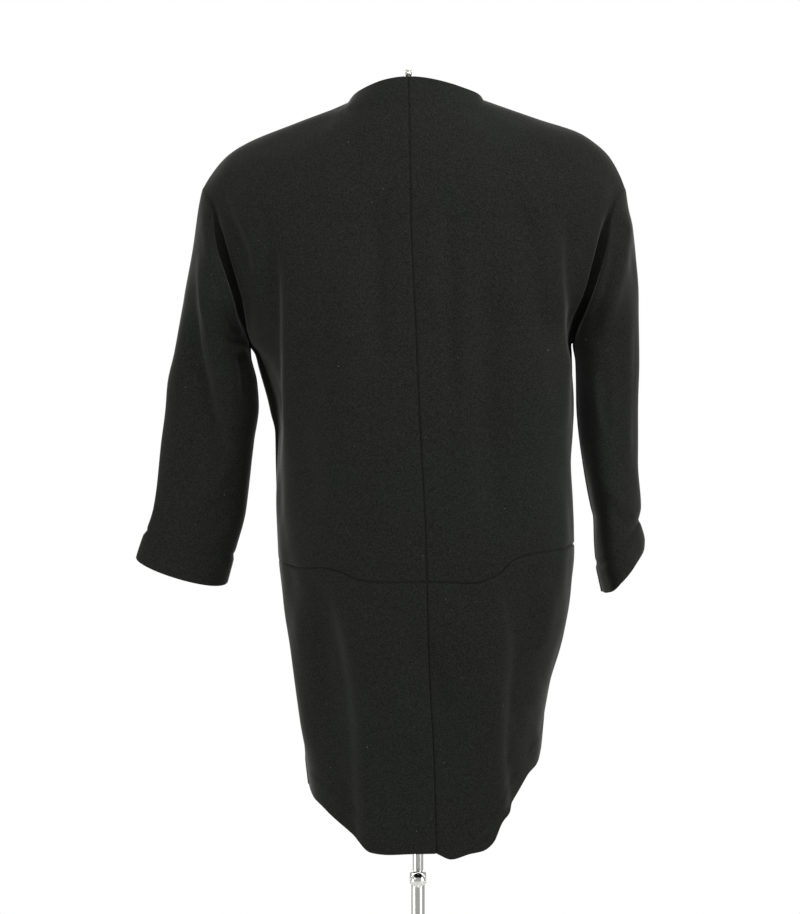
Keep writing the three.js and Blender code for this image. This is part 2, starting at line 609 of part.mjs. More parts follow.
const baseProfile = [
  [0, 0], [BASE_RADIUS - 2, 0], [BASE_RADIUS, 2], [BASE_RADIUS, BASE_THICKNESS - 3],
  [BASE_RADIUS - 3, BASE_THICKNESS], [60, 12], [SOCKET_RADIUS + 8, 15], [SOCKET_RADIUS + 1, 20],
  [SOCKET_RADIUS, 26], [SOCKET_RADIUS, SOCKET_TOP_Z - 1.5], [SOCKET_RADIUS - 1.5, SOCKET_TOP_Z],
  [TUBE_RADIUS + CONTACT, SOCKET_TOP_Z], [TUBE_RADIUS + CONTACT, SOCKET_FLOOR_Z], [0, SOCKET_FLOOR_Z],
];
const tubeProfile = [
  [TUBE_BORE, SOCKET_FLOOR_Z + CONTACT], [TUBE_RADIUS, SOCKET_FLOOR_Z + CONTACT],
  [TUBE_RADIUS, TUBE_TOP_Z], [TUBE_BORE, TUBE_TOP_Z],
];
const poleTopZ = FORM_BOTTOM_Z - FLANGE_THICKNESS - 2 * CONTACT;
const poleProfile = [
  [POLE_BORE, POLE_LOW_Z], [POLE_RADIUS, POLE_LOW_Z], [POLE_RADIUS, poleTopZ], [POLE_BORE, poleTopZ],
];
const collarProfile = [
  [TUBE_RADIUS + CONTACT, COLLAR_LOW_Z], [COLLAR_RADIUS - 1, COLLAR_LOW_Z], [COLLAR_RADIUS, COLLAR_LOW_Z + 2],
  [COLLAR_RADIUS, COLLAR_TOP_Z - 2], [COLLAR_RADIUS - 1.2, COLLAR_TOP_Z], [TUBE_BORE, COLLAR_TOP_Z],
  [TUBE_BORE, TUBE_TOP_Z + CONTACT], [TUBE_RADIUS + CONTACT, TUBE_TOP_Z + CONTACT],
];
const flangeTopZ = FORM_BOTTOM_Z - CONTACT;
const flangeLowZ = flangeTopZ - FLANGE_THICKNESS - FLANGE_SOCKET_LENGTH;
const flangeProfile = [
  [0, poleTopZ + CONTACT], [TUBE_BORE, poleTopZ + CONTACT], [TUBE_BORE, flangeLowZ],
  [FLANGE_SOCKET_RADIUS, flangeLowZ], [FLANGE_SOCKET_RADIUS, flangeTopZ - FLANGE_THICKNESS - 4],
  [FLANGE_SOCKET_RADIUS + 4, flangeTopZ - FLANGE_THICKNESS], [FLANGE_RADIUS, flangeTopZ - FLANGE_THICKNESS],
  [FLANGE_RADIUS, flangeTopZ - 1], [FLANGE_RADIUS - 1, flangeTopZ], [0, flangeTopZ],
];
// The screw lies along its own axis: its shank starts at the collar and its round knob ends it.
const screwStart = COLLAR_RADIUS + CONTACT;
const knobMiddle = screwStart + 6 + KNOB_RADIUS * 0.7;
const screwProfile = [
  [0, screwStart], [SCREW_RADIUS, screwStart], [SCREW_RADIUS, screwStart + 5],
  [KNOB_RADIUS * 0.62, knobMiddle - KNOB_RADIUS * 0.62],
  [KNOB_RADIUS * 0.93, knobMiddle - KNOB_RADIUS * 0.35],
  [KNOB_RADIUS, knobMiddle],
  [KNOB_RADIUS * 0.93, knobMiddle + KNOB_RADIUS * 0.35],
  [KNOB_RADIUS * 0.7, knobMiddle + KNOB_RADIUS * 0.6],
  [KNOB_RADIUS * 0.36, knobMiddle + KNOB_RADIUS * 0.74],
  [0, knobMiddle + KNOB_RADIUS * 0.78],
];
const capLowZ = FORM_TOP_Z + CONTACT;
const capProfile = [
  [0, capLowZ], [CAP_RADIUS - 1, capLowZ], [CAP_RADIUS, capLowZ + 1.5], [CAP_RADIUS - 1.5, capLowZ + 4],
  [CAP_RADIUS - 6, capLowZ + CAP_THICKNESS], [0, capLowZ + CAP_THICKNESS],
];
const finialLowZ = capLowZ + CAP_THICKNESS + CONTACT;
const finialProfile = [
  [0, finialLowZ], [7, finialLowZ], [7, finialLowZ + 2], [3, finialLowZ + 4], [2.6, FINIAL_TOP_Z - 10],
  [4.4, FINIAL_TOP_Z - 6.5], [5, FINIAL_TOP_Z - 4.5], [4.4, FINIAL_TOP_Z - 2.8], [2.4, FINIAL_TOP_Z - 1.9],
  [4.2, FINIAL_TOP_Z - 1.7], [4.2, FINIAL_TOP_Z], [0, FINIAL_TOP_Z],
];

// ---------------------------------------------------------------- the object
const wool = { color: 0x2a2b29, roughness: 0.95, metalness: 0 };
const jersey = { color: 0x1b1b1c, roughness: 0.9, metalness: 0 };
const chrome = { color: 0xc9cbcd, roughness: 0.12, metalness: 1 };
const blackWood = { color: 0x17140f, roughness: 0.4, metalness: 0 };

const coatOnForm = new THREE.Group();

function addPiece(name, geometry, look) {
  geometry.computeVertexNormals();
  const mesh = new THREE.Mesh(geometry, new THREE.MeshStandardMaterial(look));
  mesh.name = name;
  coatOnForm.add(mesh);
  return mesh;
}

for (const name of new Set(quads.map(({ piece }) => piece))) {
  addPiece(name, clothPiece(name), wool);
}
addPiece('form_torso', loft(formRings()), jersey);
addPiece('neck_cap', turned(capProfile), blackWood).position.x = FORM_LEAN;
addPiece('neck_finial', turned(finialProfile, SMALL_SEGMENTS), chrome).position.x = FORM_LEAN;
addPiece('pole_flange', turned(flangeProfile), chrome);
addPiece('inner_pole', turned(poleProfile), chrome);
addPiece('clamp_collar', turned(collarProfile), chrome);
const screw = addPiece('clamp_screw', turned(screwProfile, SMALL_SEGMENTS), chrome);
screw.rotation.x = Math.PI / 2;
screw.position.z = KNOB_Z;
addPiece('outer_tube', turned(tubeProfile), chrome);
addPiece('base', turned(baseProfile, BASE_SEGMENTS), chrome);

export default coatOnForm;
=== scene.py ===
import math

import bmesh
import bpy
import numpy as np
from mathutils import Matrix, Vector


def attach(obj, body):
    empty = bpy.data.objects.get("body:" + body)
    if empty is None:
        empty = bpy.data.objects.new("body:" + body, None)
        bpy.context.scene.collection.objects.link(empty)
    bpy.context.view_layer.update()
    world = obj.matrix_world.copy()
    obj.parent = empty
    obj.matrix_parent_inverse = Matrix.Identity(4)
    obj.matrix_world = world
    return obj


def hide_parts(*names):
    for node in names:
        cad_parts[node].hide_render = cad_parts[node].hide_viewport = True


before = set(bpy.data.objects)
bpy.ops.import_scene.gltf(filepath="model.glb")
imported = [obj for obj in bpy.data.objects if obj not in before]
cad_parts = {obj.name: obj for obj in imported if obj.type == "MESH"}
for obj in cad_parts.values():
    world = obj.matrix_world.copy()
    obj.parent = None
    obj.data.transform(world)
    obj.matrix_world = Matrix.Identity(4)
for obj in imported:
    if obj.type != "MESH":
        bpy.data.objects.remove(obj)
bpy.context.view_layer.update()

# ---------------------------------------------------------------- camera
# The eye stands level with the middle of the coat, square behind it, at a tailor's showroom distance. The
# frame is 800 by 914, so the lens is set by the height that it takes in where the pole stands.
EYE_X, EYE_BACK, EYE_Z = -0.0216, 3.2, 0.960
SEEN_HEIGHT = 1.0968


def in_scene(name, data):
    """A new object that holds the data."""
    thing = bpy.data.objects.new(name, data)
    bpy.context.collection.objects.link(thing)
    return thing


eye = bpy.data.cameras.new("eye")
eye.sensor_fit = "VERTICAL"
eye.angle = 2 * math.atan(SEEN_HEIGHT / 2 / EYE_BACK)
camera = in_scene("eye", eye)
camera.location = (EYE_X, -EYE_BACK, EYE_Z)
camera.rotation_euler = (math.radians(90), 0, 0)
bpy.context.scene.camera = camera


# ---------------------------------------------------------------- chrome
# The base, tube, pole, clamp and fittings are polished steel with one bright plating. It is even to the eye;
# up close it has faint wipe marks and a few hairlines where the pole has been raised and lowered.
CHROME = (0.93, 0.93, 0.88, 1)
WIPED, HAZED = 0.05, 0.16   # roughness where the plating was wiped last, and where it is hazy
MM = 0.001


def new_finish(name, values):
    """A finish's material, its node tree and its shader, with the shader's inputs set by name."""
    material = bpy.data.materials.new(name)
    material.use_nodes = True
    tree = material.node_tree
    shader = tree.nodes["Principled BSDF"]
    for title, value in values.items():
        shader.inputs[title].default_value = value
    return material, tree, shader


def noise_at(tree, place, scale, detail, roughness, stretch=None):
    """A noise on a place, finer with scale; stretch squeezes it along the axes."""
    if stretch:
        mapping = tree.nodes.new("ShaderNodeMapping")
        mapping.inputs["Scale"].default_value = stretch
        tree.links.new(place, mapping.inputs["Vector"])
        place = mapping.outputs["Vector"]
    noise = tree.nodes.new("ShaderNodeTexNoise")
    noise.inputs["Scale"].default_value = scale
    noise.inputs["Detail"].default_value = detail
    noise.inputs["Roughness"].default_value = roughness
    tree.links.new(place, noise.inputs["Vector"])
    return noise.outputs["Fac"]


def ramp(tree, value, stops):
    """Colours by a value from 0 to 1."""
    node = tree.nodes.new("ShaderNodeValToRGB")
    elements = node.color_ramp.elements
    while len(elements) < len(stops):
        elements.new(0.5)
    for element, (place, colour) in zip(elements, stops):
        element.position = place
        element.color = colour
    tree.links.new(value, node.inputs["Fac"])
    return node.outputs["Color"]


def bumped(tree, shader, layers):
    """Bumps laid on each other: (height socket, strength, distance in metres)."""
    below = None
    for height, strength, distance in layers:
        bump = tree.nodes.new("ShaderNodeBump")
        bump.inputs["Strength"].default_value = strength
        bump.inputs["Distance"].default_value = distance
        tree.links.new(height, bump.inputs["Height"])
        if below:
            tree.links.new(below, bump.inputs["Normal"])
        below = bump.outputs["Normal"]
    tree.links.new(below, shader.inputs["Normal"])


chrome, tree, shader = new_finish("polished_chrome", {"Base Color": CHROME, "Metallic": 1.0})
place = tree.nodes.new("ShaderNodeTexCoord").outputs["Object"]
wiped = noise_at(tree, place, 28, 4, 0.6)
gloss = tree.nodes.new("ShaderNodeMapRange")
gloss.inputs["To Min"].default_value = WIPED
gloss.inputs["To Max"].default_value = HAZED
tree.links.new(wiped, gloss.inputs["Value"])
tree.links.new(gloss.outputs["Result"], shader.inputs["Roughness"])
hairlines = noise_at(tree, place, 900, 2, 0.5, (1, 1, 0.02))
bumped(tree, shader, [(hairlines, 0.06, 0.0001)])


# ---------------------------------------------------------------- base and outer tube
# A turned steel plate 300 mm across with a socket in its middle, and the 16 mm tube that is pressed into it.
# The plate is heavy, thin at its rim, and bevelled so that it does not catch a foot.
CONTACT = 0.3               # gap between hard pieces that touch
POLE_RADIUS = 6.3
TUBE_BORE, TUBE_RADIUS, TUBE_TOP_Z = 6.6, 8, 459.7
BASE_RADIUS, BASE_THICKNESS = 150, 9
SOCKET_FLOOR_Z, SOCKET_TOP_Z, SOCKET_RADIUS = 14, 36, 14


def rounded(profile, radius, closed=False, steps=4):
    """A turned profile with each corner worn to a small arc."""
    corners = [Vector(corner) for corner in profile]
    out = []
    for k, corner in enumerate(corners):
        if not closed and k in (0, len(corners) - 1):
            out.append(corner)
            continue
        before, after = corners[k - 1] - corner, corners[(k + 1) % len(corners)] - corner
        reach = min(radius, 0.45 * before.length, 0.45 * after.length)
        start, end = corner + before.normalized() * reach, corner + after.normalized() * reach
        for step in range(steps + 1):
            t = step / steps
            out.append(start * (1 - t) ** 2 + corner * (2 * t * (1 - t)) + end * t * t)
    return out


def turned(name, profile, finish, segments=96, closed=False, sharp=35):
    """A piece turned on a lathe about the pole's axis. profile is a list of (radius, height)."""
    build = bmesh.new()
    rings = []
    for radius, height in profile:
        if radius < 1e-6:
            rings.append([build.verts.new((0, 0, height * MM))])
            continue
        turns = [2 * math.pi * k / segments for k in range(segments)]
        rings.append([build.verts.new((radius * MM * math.cos(a), radius * MM * math.sin(a), height * MM))
                      for a in turns])
    for low, high in zip(rings, rings[1:] + rings[:1] if closed else rings[1:]):
        for k in range(segments):
            corners = list(dict.fromkeys([low[k % len(low)], low[(k + 1) % len(low)],
                                          high[(k + 1) % len(high)], high[k % len(high)]]))
            if len(corners) > 2:
                build.faces.new(corners)
    bmesh.ops.recalc_face_normals(build, faces=build.faces)
    mesh = bpy.data.meshes.new(name)
    build.to_mesh(mesh)
    build.free()
    mesh.materials.append(finish)
    mesh.shade_smooth()
    mesh.set_sharp_from_angle(angle=math.radians(sharp))
    return in_scene(name, mesh)


def fitted(piece, body, slot, *nodes):
    """The piece rides on its body and stands for its nodes; slot is not used."""
    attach(piece, body)
    if nodes:
        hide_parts(*nodes)


base = turned("steel_base", rounded([
    (0, 0), (BASE_RADIUS - 2, 0), (BASE_RADIUS, 2), (BASE_RADIUS, BASE_THICKNESS - 3),
    (BASE_RADIUS - 3, BASE_THICKNESS), (60, 12), (SOCKET_RADIUS + 8, 15), (SOCKET_RADIUS + 1, 20),
    (SOCKET_RADIUS, 26), (SOCKET_RADIUS, SOCKET_TOP_Z - 1.5), (SOCKET_RADIUS - 1.5, SOCKET_TOP_Z),
    (TUBE_RADIUS + CONTACT, SOCKET_TOP_Z), (TUBE_RADIUS + CONTACT, SOCKET_FLOOR_Z), (0, SOCKET_FLOOR_Z),
], 1.2), chrome, 160, sharp=50)
fitted(base, "stand", "chrome", "base")
tube = turned("steel_tube", rounded([
    (TUBE_BORE, SOCKET_FLOOR_Z + CONTACT), (TUBE_RADIUS, SOCKET_FLOOR_Z + CONTACT), (TUBE_RADIUS, TUBE_TOP_Z),
    (TUBE_BORE, TUBE_TOP_Z),
], 0.3, closed=True), chrome, closed=True)
fitted(tube, "stand", "chrome", "outer_tube")

# ---------------------------------------------------------------- clamp collar and thumb screw
# A short collar closes the tube's mouth, and a screw with a round knob goes through it and presses on the
# pole. The knob is turned from bar and its rim is ribbed for the fingers.
COLLAR_RADIUS, COLLAR_LOW_Z, COLLAR_TOP_Z = 9.8, 447, 463.5
KNOB_RADIUS, KNOB_Z, SCREW_RADIUS = 9.4, 456, 2.6
SCREW_START = COLLAR_RADIUS + CONTACT
KNOB_MIDDLE = SCREW_START + 6 + KNOB_RADIUS * 0.7

collar = turned("clamp_ring", rounded([
    (TUBE_RADIUS + CONTACT, COLLAR_LOW_Z), (COLLAR_RADIUS - 1, COLLAR_LOW_Z),
    (COLLAR_RADIUS, COLLAR_LOW_Z + 2), (COLLAR_RADIUS, COLLAR_TOP_Z - 2), (COLLAR_RADIUS - 1.2, COLLAR_TOP_Z),
    (TUBE_BORE, COLLAR_TOP_Z), (TUBE_BORE, TUBE_TOP_Z + CONTACT),
    (TUBE_RADIUS + CONTACT, TUBE_TOP_Z + CONTACT),
], 0.4, closed=True), chrome, closed=True)
fitted(collar, "stand", "chrome", "clamp_collar")

KNOB_PROFILE = [            # radius and height from the knob's middle, as shares of its radius
    (0.62, -0.62), (0.9, -0.35), (0.96, 0), (0.9, 0.35), (0.7, 0.6), (0.36, 0.74), (0, 0.78),
]
knob = turned("thumb_knob", rounded([
    (0, SCREW_START), (SCREW_RADIUS, SCREW_START), (SCREW_RADIUS, SCREW_START + 5),
    *((KNOB_RADIUS * out, KNOB_MIDDLE + KNOB_RADIUS * up) for out, up in KNOB_PROFILE),
], 1.2), chrome, 72)


def node_tree(name, titles):
    """An empty Geometry Nodes tree with a geometry in and out and an input for each title."""
    tree = bpy.data.node_groups.new(name, "GeometryNodeTree")
    tree.interface.new_socket("Geometry", in_out="INPUT", socket_type="NodeSocketGeometry")
    tree.interface.new_socket("Geometry", in_out="OUTPUT", socket_type="NodeSocketGeometry")
    for title in titles.split(", "):
        kind = "NodeSocketInt" if title in ("Count", "Seed") else "NodeSocketFloat"
        tree.interface.new_socket(title, in_out="INPUT", socket_type=kind)
    return tree, tree.nodes.new("NodeGroupInput").outputs


def drawn_out(tree, shape, length):
    """The shape, drawn out along its own Z by a length."""
    stretch = tree.nodes.new("ShaderNodeCombineXYZ")
    stretch.inputs["X"].default_value = stretch.inputs["Y"].default_value = 1.0
    drawn = tree.nodes.new("GeometryNodeTransform")
    for start, end in ((length, stretch.inputs["Z"]), (stretch.outputs["Vector"], drawn.inputs["Scale"]),
                       (shape, drawn.inputs["Geometry"])):
        tree.links.new(start, end)
    return drawn.outputs["Geometry"]


def set_out(tree, spots, shape, finish):
    """Ends the tree: the shape stands at every spot, is made plain mesh and takes the finish."""
    placed = tree.nodes.new("GeometryNodeInstanceOnPoints")
    solid = tree.nodes.new("GeometryNodeRealizeInstances")
    painted = tree.nodes.new("GeometryNodeSetMaterial")
    painted.inputs["Material"].default_value = finish
    leave = tree.nodes.new("NodeGroupOutput")
    for start, end in ((spots, placed.inputs["Points"]), (shape, placed.inputs["Instance"]),
                       (placed.outputs["Instances"], solid.inputs["Geometry"]),
                       (solid.outputs["Geometry"], painted.inputs["Geometry"]),
                       (painted.outputs["Geometry"], leave.inputs["Geometry"])):
        tree.links.new(start, end)
    return placed


def grown(name, source, tree, values):
    """The plain mesh that a tree makes from a source mesh, with the tree's inputs set by name."""
    holder = in_scene(name + "_source", source)
    modifier = holder.modifiers.new(name, "NODES")
    modifier.node_group = tree
    sockets = {item.name: item.identifier for item in tree.interface.items_tree if item.in_out == "INPUT"}
    for title, value in values.items():
        modifier[sockets[title]] = value
    shown = holder.evaluated_get(bpy.context.evaluated_depsgraph_get())
    mesh = bpy.data.meshes.new_from_object(shown)
    bpy.data.objects.remove(holder)
    mesh.name = name
    return in_scene(name, mesh)


ribs, sizes = node_tree("finger_ribs", "Count, Ring radius, Rib radius, Rib length")
ring = ribs.nodes.new("GeometryNodeMeshCircle")
rib = ribs.nodes.new("GeometryNodeMeshUVSphere")
rib.inputs["Segments"].default_value = 8
rib.inputs["Rings"].default_value = 6
ribs.links.new(sizes["Count"], ring.inputs["Vertices"])
ribs.links.new(sizes["Ring radius"], ring.inputs["Radius"])
ribs.links.new(sizes["Rib radius"], rib.inputs["Radius"])
set_out(ribs, ring.outputs["Mesh"], drawn_out(ribs, rib.outputs["Mesh"], sizes["Rib length"]), chrome)
knob_ribs = grown("knob_ribs", bpy.data.meshes.new("no_ribs"), ribs, {
    "Count": 26, "Ring radius": KNOB_RADIUS * 0.93 * MM, "Rib radius": 0.6 * MM, "Rib length": 5.0,
})
knob_ribs.data.shade_smooth()
knob_ribs.data.transform(Matrix.Translation((0, 0, KNOB_MIDDLE * MM)))
for piece in (knob, knob_ribs):
    piece.data.transform(Matrix.Translation((0, 0, KNOB_Z * MM)) @ Matrix.Rotation(math.pi / 2, 4, "X"))
fitted(knob, "thumb_screw", "chrome", "clamp_screw")
fitted(knob_ribs, "thumb_screw", "chrome")

# ---------------------------------------------------------------- pole and flange
# The 12.6 mm pole slides in the tube and ends in the socket of a round flange, which is screwed up into the
# form's wooden bottom with four countersunk screws.
POLE_BORE, POLE_LOW_Z = 5.1, 200
FLANGE_TOP_Z, FLANGE_THICKNESS = 759.7, 5
FLANGE_RADIUS, FLANGE_SOCKET_RADIUS, FLANGE_SOCKET_LENGTH = 36, 10, 28
POLE_TOP_Z = FLANGE_TOP_Z - FLANGE_THICKNESS - CONTACT
FLANGE_LOW_Z = FLANGE_TOP_Z - FLANGE_THICKNESS - FLANGE_SOCKET_LENGTH

pole = turned("steel_pole", rounded([
    (POLE_BORE, POLE_LOW_Z), (POLE_RADIUS, POLE_LOW_Z), (POLE_RADIUS, POLE_TOP_Z), (POLE_BORE, POLE_TOP_Z),
], 0.3, closed=True), chrome, closed=True)
fitted(pole, "pole", "chrome", "inner_pole")
flange = turned("steel_flange", rounded([
    (0, POLE_TOP_Z + CONTACT), (TUBE_BORE, POLE_TOP_Z + CONTACT), (TUBE_BORE, FLANGE_LOW_Z),
    (FLANGE_SOCKET_RADIUS, FLANGE_LOW_Z), (FLANGE_SOCKET_RADIUS, FLANGE_TOP_Z - FLANGE_THICKNESS - 4),
    (FLANGE_SOCKET_RADIUS + 4, FLANGE_TOP_Z - FLANGE_THICKNESS),
    (FLANGE_RADIUS, FLANGE_TOP_Z - FLANGE_THICKNESS), (FLANGE_RADIUS, FLANGE_TOP_Z - 1),
    (FLANGE_RADIUS - 1, FLANGE_TOP_Z), (0, FLANGE_TOP_Z),
], 0.5), chrome)
fitted(flange, "coat_on_form", "chrome", "pole_flange")

screws, sizes = node_tree("flange_screws", "Count, Ring radius, Head radius, Head height")
ring = screws.nodes.new("GeometryNodeMeshCircle")
head = screws.nodes.new("GeometryNodeMeshCone")
head.inputs["Vertices"].default_value = 24
narrower = screws.nodes.new("ShaderNodeMath")
narrower.operation = "MULTIPLY"
narrower.inputs[1].default_value = 0.6
for start, end in (
    (sizes["Count"], ring.inputs["Vertices"]), (sizes["Ring radius"], ring.inputs["Radius"]),
    (sizes["Head radius"], head.inputs["Radius Top"]), (sizes["Head radius"], narrower.inputs[0]),
    (narrower.outputs["Value"], head.inputs["Radius Bottom"]), (sizes["Head height"], head.inputs["Depth"]),
):
    screws.links.new(start, end)
set_out(screws, ring.outputs["Mesh"], head.outputs["Mesh"], chrome)
flange_screws = grown("flange_screws", bpy.data.meshes.new("no_screws"), screws, {
    "Count": 4, "Ring radius": 25 * MM, "Head radius": 3.6 * MM, "Head height": 1.3 * MM,
})
flange_screws.data.transform(Matrix.Translation((0, 0, (FLANGE_TOP_Z - FLANGE_THICKNESS - 1.2) * MM)))
fitted(flange_screws, "coat_on_form", "chrome")

# ---------------------------------------------------------------- dress form
# A limbless torso moulded hollow, padded thinly and covered in black knitted jersey that is pulled tight and
# tucked in at the bottom and under the neck cap. The cover's wales run down it, 0.7 mm apart.
JERSEY = (0.0085, 0.0085, 0.0088, 1)
JERSEY_LIGHT = (0.0150, 0.0150, 0.0155, 1)
WALE_SPACING, COURSE_SPACING = 0.0007, 0.0006
WAVE_UNIT = 20              # a wave of bands turns by this angle in one unit of its place
RIM_CREASE = 0.7            # how sharp the torso's upper and lower rims stay when it is smoothed

jersey, tree, shader = new_finish("black_jersey", {
    "Roughness": 0.82, "Specular IOR Level": 0.3, "Sheen Weight": 0.1, "Sheen Roughness": 0.4,
})
place = tree.nodes.new("ShaderNodeTexCoord").outputs["Object"]
worn = ramp(tree, noise_at(tree, place, 60, 4, 0.6), [(0.3, JERSEY), (0.75, JERSEY_LIGHT)])
tree.links.new(worn, shader.inputs["Base Color"])
knit = []
for direction, spacing, distortion in (("X", WALE_SPACING, 0.6), ("Z", COURSE_SPACING, 0)):
    bands = tree.nodes.new("ShaderNodeTexWave")
    bands.bands_direction = direction
    bands.inputs["Scale"].default_value = 2 * math.pi / spacing / WAVE_UNIT
    bands.inputs["Distortion"].default_value = distortion
    tree.links.new(place, bands.inputs["Vector"])
    knit.append(bands.outputs["Fac"])
bumped(tree, shader, [(knit[0], 0.35, 0.0002), (knit[1], 0.2, 0.0001)])

torso_mesh = bpy.data.objects["form_torso"].data.copy()
torso_mesh.name = "jersey_torso"
build = bmesh.new()
build.from_mesh(torso_mesh)
bmesh.ops.remove_doubles(build, verts=build.verts, dist=1e-5)
bmesh.ops.join_triangles(build, faces=build.faces, angle_face_threshold=0.6, angle_shape_threshold=0.9)
low_z, high_z = min(v.co.z for v in build.verts), max(v.co.z for v in build.verts)
crease = build.edges.layers.float.new("crease_edge")
for edge in build.edges:
    if all(v.co.z > high_z - 1e-4 for v in edge.verts) or all(v.co.z < low_z + 1e-4 for v in edge.verts):
        edge[crease] = RIM_CREASE
build.to_mesh(torso_mesh)
build.free()
torso_mesh.materials.clear()
torso_mesh.materials.append(jersey)
torso_mesh.shade_smooth()
torso = in_scene("jersey_torso", torso_mesh)
smoothing = torso.modifiers.new("smooth", "SUBSURF")
smoothing.levels = smoothing.render_levels = 2
fitted(torso, "coat_on_form", "jersey", "form_torso")

# ---------------------------------------------------------------- neck cap and finial
# A turned beech disc, stained black and lacquered, closes the neck. A small chromed finial is screwed into
# its middle; it stands just higher than the coat's neck edge.
STAIN, STAIN_LIGHT = (0.0075, 0.0065, 0.0055, 1), (0.020, 0.016, 0.012, 1)
FORM_LEAN = -11.4           # the neck stands this far to the left of the pole's axis
CAP_LOW_Z, CAP_RADIUS, CAP_THICKNESS = 1396.3, 47, 5
FINIAL_LOW_Z, FINIAL_TOP_Z = CAP_LOW_Z + CAP_THICKNESS + CONTACT, 1424.4

lacquer, tree, shader = new_finish("black_lacquered_beech", {
    "Roughness": 0.38, "Coat Weight": 0.4, "Coat Roughness": 0.18,
})
place = tree.nodes.new("ShaderNodeTexCoord").outputs["Object"]
flecks = noise_at(tree, place, 160, 4, 0.65, (1, 0.08, 1))
stained = ramp(tree, flecks, [(0.35, STAIN), (0.8, STAIN_LIGHT)])
tree.links.new(stained, shader.inputs["Base Color"])
bumped(tree, shader, [(flecks, 0.15, 0.0002)])

cap = turned("beech_cap", rounded([
    (0, CAP_LOW_Z), (CAP_RADIUS - 1, CAP_LOW_Z), (CAP_RADIUS, CAP_LOW_Z + 1.5),
    (CAP_RADIUS - 1.5, CAP_LOW_Z + 4), (CAP_RADIUS - 6, CAP_LOW_Z + CAP_THICKNESS),
    (0, CAP_LOW_Z + CAP_THICKNESS),
], 0.8), lacquer)
FINIAL_PROFILE = [          # radius and depth below the finial's top
    (2.6, 10), (4.4, 6.5), (5, 4.5), (4.4, 2.8), (2.4, 1.9), (4.2, 1.7), (4.2, 0), (0, 0),
]
finial = turned("neck_knob", rounded([
    (0, FINIAL_LOW_Z), (7, FINIAL_LOW_Z), (7, FINIAL_LOW_Z + 2), (3, FINIAL_LOW_Z + 4),
    *((radius, FINIAL_TOP_Z - down) for radius, down in FINIAL_PROFILE),
], 0.5), chrome, 48)
for piece in (cap, finial):
    piece.data.transform(Matrix.Translation((FORM_LEAN * MM, 0, 0)))
fitted(cap, "coat_on_form", "black_wood", "neck_cap")
fitted(finial, "coat_on_form", "chrome", "neck_finial")


# ---------------------------------------------------------------- the coat's shape
# A collarless cocoon coat of milled wool, cut with kimono sleeves and worn on a dress form. Every length here
# is in millimetres: horizontal sections of the body, the shoulder seams, the sleeves, the hip seam, the hem.


def table(columns, rows):
    """A table's columns by name, its rows in the order of the first one."""
    return dict(zip(columns.split(), np.array(sorted(rows), float).T))


def read(sheet, place, column):
    """A column read smoothly at places between the rows, without overshoot."""
    by, heights = next(iter(sheet.values())), sheet[column]
    steps = np.diff(by)
    slopes = np.diff(heights) / steps
    before, after = slopes[:-1], slopes[1:]
    level = before * after <= 0
    middle = np.where(level, 0, 2 * before * after / np.where(level, 1, before + after))
    tangents = np.concatenate([slopes[:1], middle, slopes[-1:]])
    place = np.clip(place, by[0], by[-1])
    i = np.clip(np.searchsorted(by, place, side="right") - 1, 0, len(steps) - 1)
    t = (place - by[i]) / steps[i]
    start = (2 * t**3 - 3 * t**2 + 1) * heights[i] + (t**3 - 2 * t**2 + t) * steps[i] * tangents[i]
    end = (3 * t**2 - 2 * t**3) * heights[i + 1] + (t**3 - t**2) * steps[i] * tangents[i + 1]
    return start + end


BODY = table("z left right back front valley", [
    (1283, -256, 247, 104, 92, 0.0),
    (1235, -239, 222, 113, 101, 0.36),
    (1200, -230, 214, 119, 112, 0.38),
    (1150, -215, 201, 126, 123, 0.32),
    (1096, -202, 185, 131, 130, 0.0),
    (1084, -194, 186, 132, 131, 0.0),
    (1050, -183, 187, 135, 133, 0.0),
    (1016, -174, 187, 138, 134, 0.0),
    (990, -170, 186, 140, 134, 0.0),
    (950, -170, 183, 143, 134, 0.0),
    (900, -170, 185, 147, 134, 0.0),
    (850, -169, 186, 149, 133, 0.0),
    (800, -164, 181, 149, 131, 0.0),
    (750, -157, 173, 146, 128, 0.0),
    (700, -149, 162, 140, 124, 0.0),
    (650, -142, 152, 133, 119, 0.0),
    (600, -136, 146, 126, 113, 0.0),
    (550, -129, 137, 119, 107, 0.0),
    (490, -121, 128, 112, 101, 0.0),
])
CENTRE_LINE = table("z back front", [
    (1408, -12, -6), (1257, -10, -5), (1112, -4, -2), (997, 1, 0), (882, 7, 3), (710, 12, 5), (622, 17, 7),
    (490, 21, 8),
])
SHOULDER = table("share left_x left_z right_x right_z", [
    (0.00, 83, 1388, 75, 1388),
    (0.10, 106, 1376, 98, 1380),
    (0.33, 150, 1358, 142, 1366),
    (0.60, 204, 1338, 191, 1350),
    (0.76, 228, 1323, 215, 1334),
    (0.88, 245, 1303, 233, 1315),
    (1.00, 256, 1283, 247, 1283),
])
